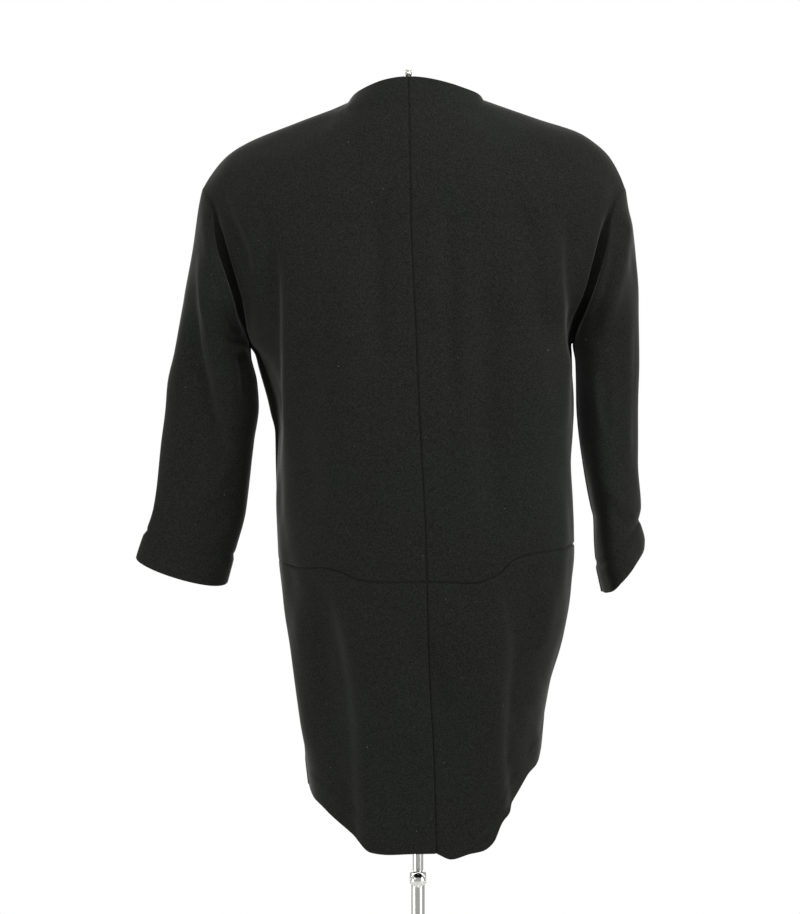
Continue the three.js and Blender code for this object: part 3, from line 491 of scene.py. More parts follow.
SLEEVES = {
    "left": table("z outer inner bulge", [
        (1283, -256, -256, 0), (1250, -263, -243, 15), (1200, -271, -230, 31), (1150, -281, -215, 43),
        (1096, -291, -202, 48), (1084, -293, -202, 47), (1050, -300, -195, 44), (1020, -303, -193, 41),
        (980, -309, -199, 37), (950, -312, -201, 35), (900, -318, -205, 32), (887, -321, -207, 31),
        (860, -331, -214, 34), (838, -338, -220, 37),
        (808, -344, -228, 38),
    ]),
    "right": table("z outer inner bulge", [
        (1283, 247, 247, 0), (1250, 253, 228, 16), (1200, 261, 214, 34), (1150, 264, 201, 47),
        (1096, 264, 185, 54), (1074, 264, 188, 54), (1026, 263, 189, 53), (1000, 263, 191, 52),
        (950, 264, 198, 50), (900, 268, 207, 48), (887, 266, 210, 47), (860, 272, 211, 50),
        (838, 270, 213, 52),
        (797, 268, 222, 53),
    ]),
}
CUFF_Z = {
    "left": {"outer": 838, "inner": 808, "sag": 9.5, "lean": 10},
    "right": {"outer": 850, "inner": 798, "sag": 8, "lean": 16},
}
HIP = table("across back_left back_right front_left front_right", [
    (0.00, 817, 817, 842, 842), (0.15, 816, 815, 842, 842), (0.25, 819, 823, 841, 843),
    (0.35, 829, 843, 841, 844), (0.45, 832, 848, 840, 846), (0.60, 831, 852, 839, 850),
    (0.80, 835, 856, 838, 854), (1.00, 838, 857, 838, 857),
])
HEM = table("across back_left back_right front_left front_right", [
    (0.0, 500, 500, 552, 552), (0.08, 500, 493, 552, 552), (0.2, 499, 499, 552, 553),
    (0.3, 501, 502, 553, 556), (0.38, 510, 511, 555, 561), (0.44, 518, 534, 556, 566),
    (0.5, 526, 544, 558, 571), (0.6, 539, 563, 562, 583), (0.7, 551, 586, 565, 594),
    (0.8, 557, 595, 567, 606), (1.0, 567, 621, 567, 621),
])
CLOTH = 2.0                 # thickness of the wool
SEAM_GAP = 0.3              # between pieces that are sewn edge to edge
ROUNDNESS = 2.4             # power of the superellipse that the sections follow
YOKE_Z, UNDERARM_Z = 1235, 1096
NECK_SHARE = 0.28           # share of a quarter's columns that start at the neck edge
LAP_SHARE, LAP_GAP = 0.085, 1.2
DIP_START, DIP_END = 72, 44
SLEEVE_FORWARD = 16
DRAPE_HANDLE, SHOULDER_STEEP = 0.36, 0.22
NECK_Z = 1408
SIGN = {"left": -1, "right": 1, "back": -1, "front": 1}
NECK_EDGE = {
    "back": {"depth": 62, "rise": 20, "bend": 1.8, "steep": 0.9, "outward": 0.45},
    "front": {"depth": 84, "rise": -68, "bend": 1.4, "steep": 0.93, "outward": 0.35},
}


def points_of(x, y, z):
    return np.stack(np.broadcast_arrays(x, y, z), axis=-1).astype(float)


def body_points(face, side, across, z):
    """Places on the body's sections: across is 0 at the centre seam and 1 at the side seam or valley."""
    left, right = read(BODY, z, "left"), read(BODY, z, "right")
    centre = (left + right) / 2
    end = np.arccos(read(BODY, z, "valley") ** (ROUNDNESS / 2))
    reach = (right - left) / 2 / np.sin(end) ** (2 / ROUNDNESS)
    seam = read(CENTRE_LINE, z, face) - centre
    middle = np.sign(seam) * np.arcsin((np.abs(seam) / reach) ** (ROUNDNESS / 2))
    angle = middle + (SIGN[side] * end - middle) * across
    depth = read(BODY, z, face) * np.maximum(0, np.cos(angle)) ** (2 / ROUNDNESS)
    x = centre + reach * np.sign(angle) * np.abs(np.sin(angle)) ** (2 / ROUNDNESS)
    return points_of(x, SIGN[face] * depth, z)


def top_points(face, side, across):
    """The upper edge of a quarter: the neck edge, then the shoulder seam."""
    neck = NECK_EDGE[face]
    turn = np.minimum(across / NECK_SHARE, 1) * math.pi / 2
    middle = read(CENTRE_LINE, NECK_Z, face)
    neck_x = middle + (SIGN[side] * SHOULDER[side + "_x"][0] - middle) * np.sin(turn)
    neck_z = SHOULDER[side + "_z"][0] + neck["rise"] * np.maximum(0, np.cos(turn)) ** neck["bend"]
    share = (across - NECK_SHARE) / (1 - NECK_SHARE)
    on_neck = across <= NECK_SHARE
    x = np.where(on_neck, neck_x, SIGN[side] * read(SHOULDER, share, side + "_x"))
    y = np.where(on_neck, SIGN[face] * neck["depth"] * np.cos(turn), 0)
    z = np.where(on_neck, neck_z, read(SHOULDER, share, side + "_z"))
    return points_of(x, y, z)


def yoke_points(face, side, across, share):
    """Lines that drape over the shoulder from the upper edge down to the yoke's height."""
    top = top_points(face, side, across)
    low = body_points(face, side, across, np.full_like(across, YOKE_Z))
    handle = DRAPE_HANDLE * np.linalg.norm(low - top, axis=-1)
    to_shoulder = np.clip(np.abs(across) / NECK_SHARE, 0, 1) ** 1.5
    outward = NECK_EDGE[face]["outward"] * (1 - to_shoulder) + to_shoulder
    down = NECK_EDGE[face]["steep"] * (1 - to_shoulder) + SHOULDER_STEEP * to_shoulder
    x_step = low[:, 0] - top[:, 0]
    above = points_of(top[:, 0] + 0.3 * x_step, top[:, 1] + SIGN[face] * outward * handle,
                      top[:, 2] - down * handle)
    below = points_of(top[:, 0] + 0.72 * x_step, low[:, 1], low[:, 2] + handle)
    s = share[:, None, None]
    return (1 - s)**3 * top + 3 * s * (1 - s)**2 * above + 3 * s**2 * (1 - s) * below + s**3 * low


# The cloth is divided into rows and columns about 3 mm apart, with closer ones beside the seams and edges.
STEP = 3.1
EDGE_STEPS = np.array([0.5, 1.1, 1.9])


def shares(length, start=True, end=True):
    """Shares from 0 to 1 of a length, a step apart, closer together at the ends that are sewn or cut."""
    even = np.linspace(0, 1, round(length / STEP) + 1)
    parts = [even]
    if start:
        parts.append(EDGE_STEPS / length)
    if end:
        parts.append(1 - EDGE_STEPS / length)
    return np.unique(np.concatenate(parts))


def evened(rows, places):
    """Each row of points again, at the same shares of its own length."""
    run = np.zeros(rows.shape[:2])
    run[:, 1:] = np.cumsum(np.linalg.norm(np.diff(rows, axis=1), axis=-1), axis=1)
    return np.array([[np.interp(places * length[-1], length, column) for column in row.T]
                     for row, length in zip(rows, run)]).transpose(0, 2, 1)


YOKE_SHARES = shares(165, end=False)
CHEST_SHARES = shares(139, start=False, end=False)[:-1]
WAIST_SHARES = shares(270, start=False)
SKIRT_SHARES = shares(330)
BODY_SHARES = shares(262)
SLEEVE_SHARES = shares(125)
FOREARM_SHARES = shares(278, start=False)[1:]
YOKE_ROWS = len(YOKE_SHARES) - 1
UNDERARM_ROW = YOKE_ROWS + len(CHEST_SHARES)
HIP_ROW = UNDERARM_ROW + len(WAIST_SHARES) - 1
FINE = 4                    # how much finer a row is worked out than it is kept


def body_grid(face, side):
    across = np.linspace(0, 1, FINE * len(BODY_SHARES))
    if face == "front":
        lap = np.linspace(-LAP_SHARE, 0, 40)[:-1]
        across = np.concatenate([lap, across])
    key = f"{face}_{side}"
    hip, hem = read(HIP, across, key), read(HEM, across, key)
    rows = [yoke_points(face, side, across, YOKE_SHARES[:-1])]
    heights = [np.full_like(across, YOKE_Z + (UNDERARM_Z - YOKE_Z) * share) for share in CHEST_SHARES]
    heights += [UNDERARM_Z + (hip - UNDERARM_Z) * share for share in WAIST_SHARES]
    heights += [hip + (hem - hip) * share for share in SKIRT_SHARES[1:]]
    rows.append(np.array([body_points(face, side, across, z) for z in heights]))
    return evened(np.concatenate(rows), BODY_SHARES)


def sleeve_grid(face, side, valley):
    """One half of a sleeve. valley holds the body's own points down to the underarm."""
    sheet, cuff = SLEEVES[side], CUFF_Z[side]
    top = SHOULDER[side + "_z"][-1]
    outer_z = np.concatenate([
        top + (YOKE_Z - top) * YOKE_SHARES[:-1] ** 1.3,
        valley[YOKE_ROWS:, 2],
        UNDERARM_Z + (cuff["outer"] - UNDERARM_Z) * FOREARM_SHARES,
    ])
    inner_z = UNDERARM_Z + (cuff["inner"] - UNDERARM_Z) * FOREARM_SHARES

    def forward(z):
        return SLEEVE_FORWARD * np.clip((UNDERARM_Z - z) / (UNDERARM_Z - cuff["inner"]), 0, 1)

    outer = points_of(read(sheet, outer_z, "outer"), forward(outer_z), outer_z)
    inner = np.concatenate([valley, points_of(read(sheet, inner_z, "inner"), forward(inner_z), inner_z)])
    bulge = read(sheet, (inner[:, 2] + outer[:, 2]) / 2, "bulge")[:, None]
    turn = np.linspace(0, math.pi, FINE * len(SLEEVE_SHARES))
    rows = inner[:, None] + (outer - inner)[:, None] * ((1 - np.cos(turn)) / 2)[None, :, None]
    lean = cuff["lean"] * np.clip((1180 - inner[:, 2]) / 140, 0, 1)[:, None] * (face == "back")
    rows[..., 1] += SIGN[face] * (bulge * np.sin(turn) + lean * np.sin(turn) * np.cos(turn))
    down = np.concatenate([np.zeros(len(valley)), FOREARM_SHARES])[:, None]
    rows[..., 2] -= cuff["sag"] * np.sin(turn) * down**4
    return evened(rows, SLEEVE_SHARES)


def along(grid, axis):
    """Length run along a grid's rows or columns, from their start."""
    steps = np.linalg.norm(np.diff(grid, axis=axis), axis=-1)
    run = np.zeros(grid.shape[:2])
    if axis:
        run[:, 1:] = np.cumsum(steps, axis=1)
    else:
        run[1:] = np.cumsum(steps, axis=0)
    return run


# The whole coat is one net, so that neighbouring pieces meet along one line. Each point keeps how far it is
# from the nearest seam, free edge, turn of the cloth and armhole valley, and its place on the flat cloth.
FAR = 1e3
LAP_REACH = 90              # the fronts are apart from each other this far from their edges
WELD = 0.002                # points nearer than this are one
net = {name: [] for name in ("points", "layer", "region", "seam", "edge", "turn", "valley", "flat")}
net_quads, net_pieces = [], []
regions, piece_numbers = {}, {}


def number_of(name, numbers):
    return numbers.setdefault(name, len(numbers))


def add_grid(region, outward, pieces, **values):
    """Adds a grid with its quads. pieces numbers each row of quads; the values belong to the points."""
    shape = values["points"].shape[:2]
    ids = sum(map(len, net["points"])) + np.arange(shape[0] * shape[1]).reshape(shape)
    values["region"] = np.full(shape, number_of(region, regions))
    for name, value in values.items():
        net[name].append(value.reshape(ids.size, -1))
    corners = [ids[:-1, :-1], ids[1:, :-1], ids[1:, 1:], ids[:-1, 1:]]
    if outward < 0:
        corners.reverse()
    net_quads.append(np.stack(corners, axis=-1).reshape(-1, 4))
    net_pieces.append(np.repeat(pieces, shape[1] - 1))


for face in ("back", "front"):
    for side in ("left", "right"):
        body = body_grid(face, side)
        across_run, down_run = along(body, 1), along(body, 0)
        row = np.arange(len(body))[:, None]
        to_side = across_run[:, -1:] - across_run
        on_neck = np.abs(body[0, :, 1]) > 1e-6
        seam = np.where(on_neck, FAR, down_run)
        seam = np.minimum(seam, np.where(row >= UNDERARM_ROW, to_side, FAR))
        to_hem = down_run[-1] - down_run
        edge = np.minimum(np.where(on_neck, down_run, FAR), to_hem)
        hip_run = np.abs(down_run - down_run[HIP_ROW])
        if face == "back":
            seam = np.minimum(seam, np.minimum(across_run, hip_run))
        else:
            edge = np.minimum(edge, across_run)
        upper = number_of(f"back_upper_{side}" if face == "back" else f"front_{side}", piece_numbers)
        lower = number_of(f"back_lower_{side}" if face == "back" else f"front_{side}", piece_numbers)
        outward = -SIGN[face] * SIGN[side]
        add_grid(face, outward, np.where(row[:-1, 0] < HIP_ROW, upper, lower),
                 points=body, seam=seam, edge=edge,
                 layer=(across_run < LAP_REACH) * (face == "front") * (1 if side == "left" else 2),
                 turn=np.minimum(to_side, np.where(on_neck, FAR, down_run)),
                 valley=np.where(row <= UNDERARM_ROW, to_side, FAR),
                 flat=np.stack([SIGN[side] * across_run, -down_run], axis=-1))

        sleeve = sleeve_grid(face, side, body[:UNDERARM_ROW + 1, -1])
        across_sleeve, down_sleeve = along(sleeve, 1), along(sleeve, 0)
        row = np.arange(len(sleeve))[:, None]
        to_top = across_sleeve[:, -1:] - across_sleeve
        body_width = np.interp(row, np.arange(UNDERARM_ROW + 1), across_run[:UNDERARM_ROW + 1, -1])
        add_grid(f"{side} sleeve {face}", outward, np.full(len(sleeve) - 1, upper), points=sleeve,
                 layer=np.zeros(sleeve.shape[:2]), edge=down_sleeve[-1] - down_sleeve,
                 seam=np.minimum(to_top, np.where(row >= UNDERARM_ROW, across_sleeve, FAR)),
                 turn=np.minimum(across_sleeve, to_top),
                 valley=np.where(row <= UNDERARM_ROW, across_sleeve, FAR),
                 flat=np.stack([SIGN[side] * (body_width + across_sleeve), -down_sleeve], axis=-1))

net = {name: np.concatenate(values) for name, values in net.items()}
quads, quad_piece = np.concatenate(net_quads), np.concatenate(net_pieces)
keys = np.round(np.concatenate([net["points"] / WELD, net["layer"]], axis=1)).astype(np.int64)
_, first, weld = np.unique(keys, axis=0, return_index=True, return_inverse=True)
weld = weld.reshape(-1)
points = net["points"][first]
region = net["region"][first, 0].astype(int)
nearest = {}
for name in ("seam", "edge", "turn", "valley"):
    nearest[name] = np.full(len(first), FAR)
    np.minimum.at(nearest[name], weld, net[name][:, 0])
seam_run, edge_run = nearest["seam"], nearest["edge"]


def triangles_of(corners):
    """A quad's two triangles; those that have shrunk to a line are left out."""
    both = np.concatenate([corners[:, [0, 1, 2]], corners[:, [0, 2, 3]]])
    return both[(both[:, 0] != both[:, 1]) & (both[:, 1] != both[:, 2]) & (both[:, 2] != both[:, 0])]


welded_triangles = triangles_of(weld[quads])
links = np.unique(np.sort(np.concatenate([
    welded_triangles[:, [0, 1]], welded_triangles[:, [1, 2]], welded_triangles[:, [2, 0]],
]), axis=1), axis=0)


def gathered(index, values, size):
    """The sums of the values that have the same index."""
    return np.stack([np.bincount(index, column, size) for column in values.T], axis=-1)


def relaxed(places, weight, rounds):
    """Values of the points, drawn towards their neighbours' mean by a weight from 0 to 1."""
    size, (here, there) = len(places), links.T
    valence = np.bincount(links.ravel(), minlength=size)[:, None]
    for _ in range(rounds):
        sums = gathered(here, places[there], size) + gathered(there, places[here], size)
        places = places + weight[:, None] * (sums / valence - places)
    return places


def bell(distance, width):
    """1 at no distance, and hardly anything beyond two widths."""
    return np.exp(-(distance / width) ** 2)


def within(run, limit, softness):
    """1 where the run is short of the limit and 0 beyond it, with a soft step between."""
    return 1 / (1 + np.exp((run - limit) / softness))


def net_normals(places):
    """Which way the cloth faces at each point, evened over its neighbours."""
    a, b, c = (places[welded_triangles[:, k]] for k in range(3))
    area = np.cross(b - a, c - a)
    total = sum(gathered(welded_triangles[:, k], area, len(places)) for k in range(3))
    total = relaxed(total, np.full(len(total), 0.6), 2)
    return total / np.maximum(np.linalg.norm(total, axis=1), 1e-9)[:, None]


# Where the sleeve folds into the body the cloth turns in a soft roll, not in a sharp crease, and the shoulder
# rounds over into the sleeve.
ROLL_REACH, ROLL_FADE = 7, 0.86         # points of the net that the roll spreads over, and its share at each
SHOULDER_SOFT, SHOULDER_FULL = 24, 34   # reach round the shoulder's end where it is evened, and filled out
FULLNESS, FULL_FROM = 3.2, 60           # how far it is filled out, and the depth of the point it swells from

in_sleeve, in_body = np.zeros(len(points), bool), np.zeros(len(points), bool)
of_body = np.isin(net["region"][:, 0], [regions["back"], regions["front"]])
in_sleeve[weld[~of_body]] = True
in_body[weld[of_body]] = True
near_valley = (in_sleeve & in_body & (points[:, 2] > UNDERARM_Z + 12)).astype(float)
for _ in range(ROLL_REACH):
    spread = near_valley.copy()
    for here, there in (links.T, links.T[::-1]):
        np.maximum.at(spread, here, near_valley[there] * ROLL_FADE)
    near_valley = spread
near_valley[(seam_run < 3) | (edge_run < 3)] = 0
points = relaxed(points, 0.55 * near_valley, 10)
for side in ("left", "right"):
    end = np.array([SIGN[side] * SHOULDER[side + "_x"][-1], 0, SHOULDER[side + "_z"][-1]])
    far = np.linalg.norm((points - end) / (1, 1, 1.3), axis=1)
    points = relaxed(points, 0.8 * bell(far, SHOULDER_SOFT), 60)
    out = (points - (0, 0, end[2] - FULL_FROM)) * (1, 1, 0.7)
    points += FULLNESS * bell(far, SHOULDER_FULL)[:, None] * out / np.linalg.norm(out, axis=1)[:, None]


# ---------------------------------------------------------------- folds of the worn cloth
# The wool is soft and heavy, so it hangs in a few long folds: rolls and troughs from the blades, a step down
# each side of the skirt, and drags at the underarms, elbows and cuffs. No two are alike.


def fold(region_name, path, lift, left, right, start=0.25, end=0.25):
    """Raises the cloth along a path of (x, z), fading over left and right of it and at both ends."""
    on = region == regions[region_name]
    knots = np.array(path, float)
    smooth = np.linspace(0, len(knots) - 1, 8 * len(knots))
    knot = np.arange(len(knots))
    line = np.stack([read({"at": knot, "value": knots[:, k]}, smooth, "value") for k in range(2)], axis=-1)
    reach = 3 * max(left, right)
    low, high = line.min(axis=0) - reach, line.max(axis=0) + reach
    place = points[:, [0, 2]]
    ids = np.flatnonzero(on & np.all((place > low) & (place < high), axis=1))
    place = place[ids]
    run = np.concatenate([[0], np.cumsum(np.linalg.norm(np.diff(line, axis=0), axis=1))])
    best = np.full(len(ids), np.inf)
    side, share = np.zeros(len(ids)), np.zeros(len(ids))
    for k in range(len(line) - 1):
        step = line[k + 1] - line[k]
        t = np.clip(((place - line[k]) @ step) / (step @ step), 0, 1)
        gap = place - line[k] - t[:, None] * step
        distance = np.linalg.norm(gap, axis=1)
        nearer = distance < best
        best[nearer] = distance[nearer]
        cross = step[0] * gap[:, 1] - step[1] * gap[:, 0]
        side[nearer] = np.sign(cross[nearer])
        share[nearer] = ((run[k] + t * (run[k + 1] - run[k])) / run[-1])[nearer]
    heading_down = 1 if line[-1, 1] < line[0, 1] else -1
    width = np.where(side * heading_down > 0, right, left)
    fade = np.minimum(1, share / start if start else 1) * np.minimum(1, (1 - share) / end if end else 1)
    fade = fade * fade * (3 - 2 * fade)
    rise[ids] += lift * fade * bell(best, width)


def moved(path, by):
    return [(x + by, z) for x, z in path]


# Ridges and troughs that folds lie beside, as (x, z) from above.
LEFT_LAP = [(-112, 850), (-104, 800), (-93, 749), (-86, 710), (-80, 672), (-77, 633), (-76, 595), (-74, 556),
            (-72, 490)]
RIGHT_LAP = [(90, 850), (94, 820), (99, 790), (105, 764), (108, 740), (107, 716), (104, 690), (102, 660),
             (102, 630), (104, 590), (107, 540)]
LEFT_BLADE = [(-176, 1262), (-169, 1234), (-163, 1206), (-160, 1171), (-160, 1100), (-161, 1003), (-160, 900)]
LEFT_RIDGE = [(-264, 1210), (-260, 1149), (-251, 1094), (-242, 1046), (-234, 1008), (-225, 975), (-216, 935)]
RIGHT_RIDGE = [(250, 1262), (244, 1230), (238, 1200), (229, 1165), (218, 1127), (212, 1090)]
FOLDS = {
    "back": (
        # Down the back of the skirt, on the left: the side hangs in a hollow, and the middle laps over it in
        # a roll.
        (moved(LEFT_LAP, -9), -8.5, 28, 15, 0.35, 0),
        (moved(LEFT_LAP, 14), 2, 14, 28, 0.35, 0),
        # On the right: the middle laps over a bent hollow, which is narrow again below the bend.
        (moved(RIGHT_LAP, 8), -7, 12, 26, 0.3, 0.05),
        (moved(RIGHT_LAP, -14), 2, 28, 14, 0.3, 0.05),
        ([(108, 672), (127, 681), (150, 694)], 2, 14, 20, 0.3, 0.3),
        ([(108, 648), (124, 653), (146, 664)], -2.2, 12, 18, 0.3, 0.3),
        ([(104, 610), (118, 606), (130, 600)], 1.4, 12, 14),
        # Soft slanting drags under the seat, either side of the centre seam.
        ([(8, 762), (14, 720), (24, 686), (40, 650)], -5, 20, 12),
        ([(50, 800), (60, 740), (74, 680), (84, 640)], 5, 22, 26),
        ([(-44, 800), (-36, 700), (-30, 600)], 4, 34, 26),
        ([(-16, 640), (-14, 590), (-12, 540)], -2.6, 16, 16),
        # Down the sides of the skirt.
        ([(-146, 800), (-140, 760), (-136, 720), (-134, 670), (-128, 600)], 3, 9, 12),
        ([(-124, 800), (-116, 740), (-110, 680), (-104, 620)], -4.5, 15, 17),
        ([(152, 820), (148, 770), (140, 720)], 3, 10, 12),
        ([(126, 840), (128, 800), (130, 760)], -3, 12, 12),
        # From the sleeves' valleys down over the shoulder blades: the back lies flat between two corners, and
        # turns in towards each armhole.
        (moved(LEFT_BLADE, -9), -9, 26, 9, 0.3, 0.45),
        (moved(LEFT_BLADE, 9), 2.4, 12, 36, 0.25, 0.45),
        ([(-240, 1288), (-232, 1262), (-222, 1236), (-205, 1200), (-198, 1160)], -4, 8, 9),
        ([(-214, 1268), (-202, 1232), (-192, 1196), (-184, 1150)], 3, 9, 10),
        ([(102, 1286), (122, 1240), (134, 1199), (139, 1140), (138, 1060)], -4, 15, 11, 0.25, 0.4),
        ([(154, 1250), (162, 1204), (165, 1150), (169, 1100), (174, 1030)], 3.5, 18, 9, 0.3, 0.35),
        ([(178, 1262), (180, 1215), (181, 1160), (186, 1090), (182, 1030)], -6, 12, 11, 0.25, 0.4),
        ([(168, 1120), (165, 1020), (163, 900), (158, 760), (150, 690)], 6, 34, 14),
        # Long shallow rolls down the middle of the back.
        ([(-47, 1280), (-49, 1199), (-46, 1118), (-44, 1040)], -4.4, 13, 12),
        ([(-80, 1230), (-84, 1120), (-82, 1000), (-88, 880)], 5, 30, 20),
        ([(16, 1268), (15, 1200), (18, 1110)], 3.6, 11, 13),
        ([(36, 1250), (35, 1130), (38, 1000)], -2.6, 10, 11),
        ([(56, 1220), (54, 1110), (58, 980), (60, 880)], 3.6, 13, 15),
        ([(84, 1220), (81, 1110), (80, 1026), (82, 930), (85, 838)], -6, 16, 20),
        ([(122, 1150), (130, 1060), (132, 960), (126, 860)], 5, 26, 22),
        ([(-128, 1130), (-132, 1000), (-128, 870)], -4.5, 20, 24),
        # Drags from the underarms into the body.
        ([(-190, 1090), (-178, 1050), (-166, 1000)], -2.5, 8, 10),
        ([(178, 1090), (168, 1050), (160, 990)], 3.4, 9, 9),
    ),
    "left sleeve back": (
        # The left sleeve: a flat panel below the valley laps over a hollow down the outer side, from the
        # shoulder to the elbow, and is puckered where it meets the underarm.
        ([(-270, 1160), (-262, 1094), (-252, 1046), (-244, 1008), (-235, 975),
         (-228, 940)], -7, 18, 5, 0.25, 0.3),
        (moved(LEFT_RIDGE, 5), 6, 4.5, 24, 0.3, 0.3),
        ([(-240, 1180), (-232, 1150), (-224, 1122), (-214, 1104)], -4.5, 5, 6, 0.2, 0.1),
        ([(-230, 1106), (-218, 1096), (-205, 1096)], -5, 5, 4, 0.3, 0),
        ([(-222, 1128), (-213, 1110)], 3, 4, 4),
        ([(-222, 1084), (-212, 1084), (-204, 1086)], 3.2, 4, 4, 0.3, 0),
        ([(-212, 1086), (-207, 1046), (-206, 1010)], -4.5, 6, 5, 0.1, 0.4),
        ([(-222, 1070), (-219, 1030), (-214, 990)], 2.6, 6, 6),
        ([(-282, 1090), (-290, 1030), (-296, 960), (-300, 910)], 3, 10, 10),
        ([(-262, 1010), (-266, 950), (-272, 900)], -3, 14, 12),
        ([(-214, 900), (-232, 868), (-250, 862)], 2.6, 7, 8),
        ([(-222, 960), (-240, 925), (-262, 905)], 2.2, 8, 9),
    ),
    "right sleeve back": (
        # The right sleeve, turned edge on: a deep crease beside the valley, a long roll beyond it, a flat
        # fold above the cuff.
        (moved(RIGHT_RIDGE, 4), 5, 5, 10, 0.2, 0.3),
        (moved(RIGHT_RIDGE, -8), -5.5, 8, 5, 0.2, 0.3),
        ([(252, 1160), (249, 1090), (250, 1000), (252, 930)], 2.4, 9, 6),
        ([(222, 1080), (220, 1030), (224, 980)], -3.4, 8, 8),
        ([(206, 1060), (212, 1020), (222, 975)], 2.4, 6, 7),
        ([(216, 940), (230, 915), (246, 905)], 2.6, 7, 8),
        ([(228, 900), (244, 884), (262, 884)], -2.4, 6, 7),
    ),
    "front": (
        # The fronts hang in like folds: two shallow drapes from the chest, rolls in the skirt, drags at the
        # sleeves.
        ([(-118, 1262), (-104, 1140), (-96, 1000), (-91, 820), (-86, 640)], -5, 22, 18, 0.2, 0.3),
        ([(116, 1262), (108, 1150), (103, 980), (101, 800), (98, 620)], -5, 18, 22, 0.2, 0.3),
        ([(-74, 920), (-66, 800), (-60, 700), (-54, 540)], 5, 14, 20, 0.3, 0),
        ([(82, 905), (77, 800), (72, 700), (66, 560)], 5, 20, 14, 0.3, 0),
        ([(-104, 800), (-96, 700), (-90, 560)], -5, 12, 12, 0.3, 0),
        ([(112, 790), (106, 700), (104, 580)], -5, 11, 13, 0.3, 0),
        ([(-186, 1270), (-170, 1220), (-160, 1150), (-158, 1060)], 5, 9, 16),
        ([(176, 1266), (164, 1212), (157, 1150), (160, 1070)], 4.5, 16, 9),
        ([(-205, 1262), (-188, 1210), (-178, 1150)], -4, 9, 8),
        ([(192, 1256), (178, 1200), (172, 1140)], -3.6, 8, 9),
        ([(-132, 980), (-128, 880), (-122, 760)], 3, 14, 14),
        ([(136, 1000), (138, 900), (132, 780)], 2.6, 14, 14),
        ([(-198, 1092), (-180, 1050), (-166, 990)], 3, 9, 10),
        ([(182, 1090), (168, 1048), (158, 985)], 2.8, 9, 10),
    ),
    "left sleeve front": (
        ([(-258, 1255), (-258, 1200), (-250, 1140), (-240, 1070), (-232, 1000)], 4, 9, 8),
        ([(-210, 1110), (-226, 1080), (-246, 1062)], 3, 7, 8),
        ([(-216, 1010), (-242, 984), (-270, 976)], 2.6, 9, 10),
        ([(-222, 960), (-250, 938), (-284, 934)], -2.2, 8, 10),
        ([(-284, 1060), (-292, 990), (-296, 920)], -2.2, 10, 10),
    ),
    "right sleeve front": (
        ([(246, 1258), (240, 1200), (231, 1140), (226, 1070)], 4, 7, 7),
        ([(204, 1092), (220, 1062), (240, 1050)], 3, 7, 8),
        ([(206, 1000), (226, 978), (250, 974)], 2.6, 8, 9),
        ([(212, 950), (230, 930), (252, 926)], -2, 8, 8),
    ),
}
rise = np.zeros(len(points))
for region_name, rows in FOLDS.items():
    for path, lift, left, right, *ends in rows:
        fold(region_name, path, lift, left, right, *ends)

# Between the folds the cloth is never quite even: slow waves, mostly upright ones.
waves = np.random.default_rng(11)
for wavelength, height in ((170, 0.7), (105, 0.45), (64, 0.28), (41, 0.16)):
    for _ in range(4):
        turn, tilt, phase = waves.uniform(0, 2 * math.pi), waves.normal(0, 0.3), waves.uniform(0, 2 * math.pi)
        heading = np.array([math.cos(turn), math.sin(turn), tilt])
        rise += height * np.sin(points @ heading * 2 * math.pi / wavelength + phase)

# Where the sleeve folds into the body the cloth is drawn deep into the fold, and rolls out on both sides: least
# at the side, where back and front meet, and not at the shoulder's end nor below the underarm.
VALLEY_FROM_Y, VALLEY_TOP_Z, VALLEY_LOW_Z = 12, 1268, UNDERARM_Z - 6
VALLEY_ROLL, ROLL_WIDTH = 1.5, 9

depth_there = (np.clip((np.abs(points[:, 1]) - VALLEY_FROM_Y) / 36, 0, 1)
               * np.clip((VALLEY_TOP_Z - points[:, 2]) / 60, 0, 1)
               * np.clip((points[:, 2] - VALLEY_LOW_Z) / 24, 0, 1))
is_sleeve = np.isin(region, [number for name, number in regions.items() if "sleeve" in name])
sleeve_fold, body_fold = (
    depth * bell(nearest["valley"] - deepest, width) - VALLEY_ROLL * bell(nearest["valley"] - roll, ROLL_WIDTH)
    for depth, deepest, width, roll in ((9, 4, 11, 26), (7.5, 0, 8, 20))
)

# Folds run on over the sides, the shoulders and the sleeves' edges, and are softest there.
rise = relaxed(rise[:, None], 0.8 * bell(nearest["turn"], 13), 40)[:, 0]
rise -= np.where(is_sleeve, sleeve_fold, body_fold) * depth_there

# Hem and cuffs are turned up: the cloth is a little fuller below the turning's upper edge, and at the cuffs a
# faint dent runs along it.
HEM_TURNING, HEM_FULLNESS, CUFF_DENT = 34, 0.9, 1.5
rise += np.where(edge_run < FAR, HEM_FULLNESS * within(edge_run, HEM_TURNING, 1.6), 0)
rise -= np.where(is_sleeve, CUFF_DENT * bell(edge_run - HEM_TURNING - 2, 3.2), 0)

# The left front lies under the right one, and dips to let it.
smooth_normals = net_normals(points)
beside = read(CENTRE_LINE, points[:, 2], "front") - points[:, 0]
dip = np.clip((beside - DIP_END) / (DIP_START - DIP_END), 0, 1)
dip = (CLOTH + LAP_GAP) * (1 - dip * dip * (3 - 2 * dip))
under = np.zeros(len(points), bool)
under[weld[(net["region"][:, 0] == regions["front"]) & (net["flat"][:, 0] <= 0)]] = True
points = points + smooth_normals * (rise - np.where(under, dip, 0))[:, None]
normals = net_normals(points)
underarm = (np.abs(points[:, 2] - UNDERARM_Z) < 3) & in_sleeve & in_body
normals[underarm] = (0, 0, -1)


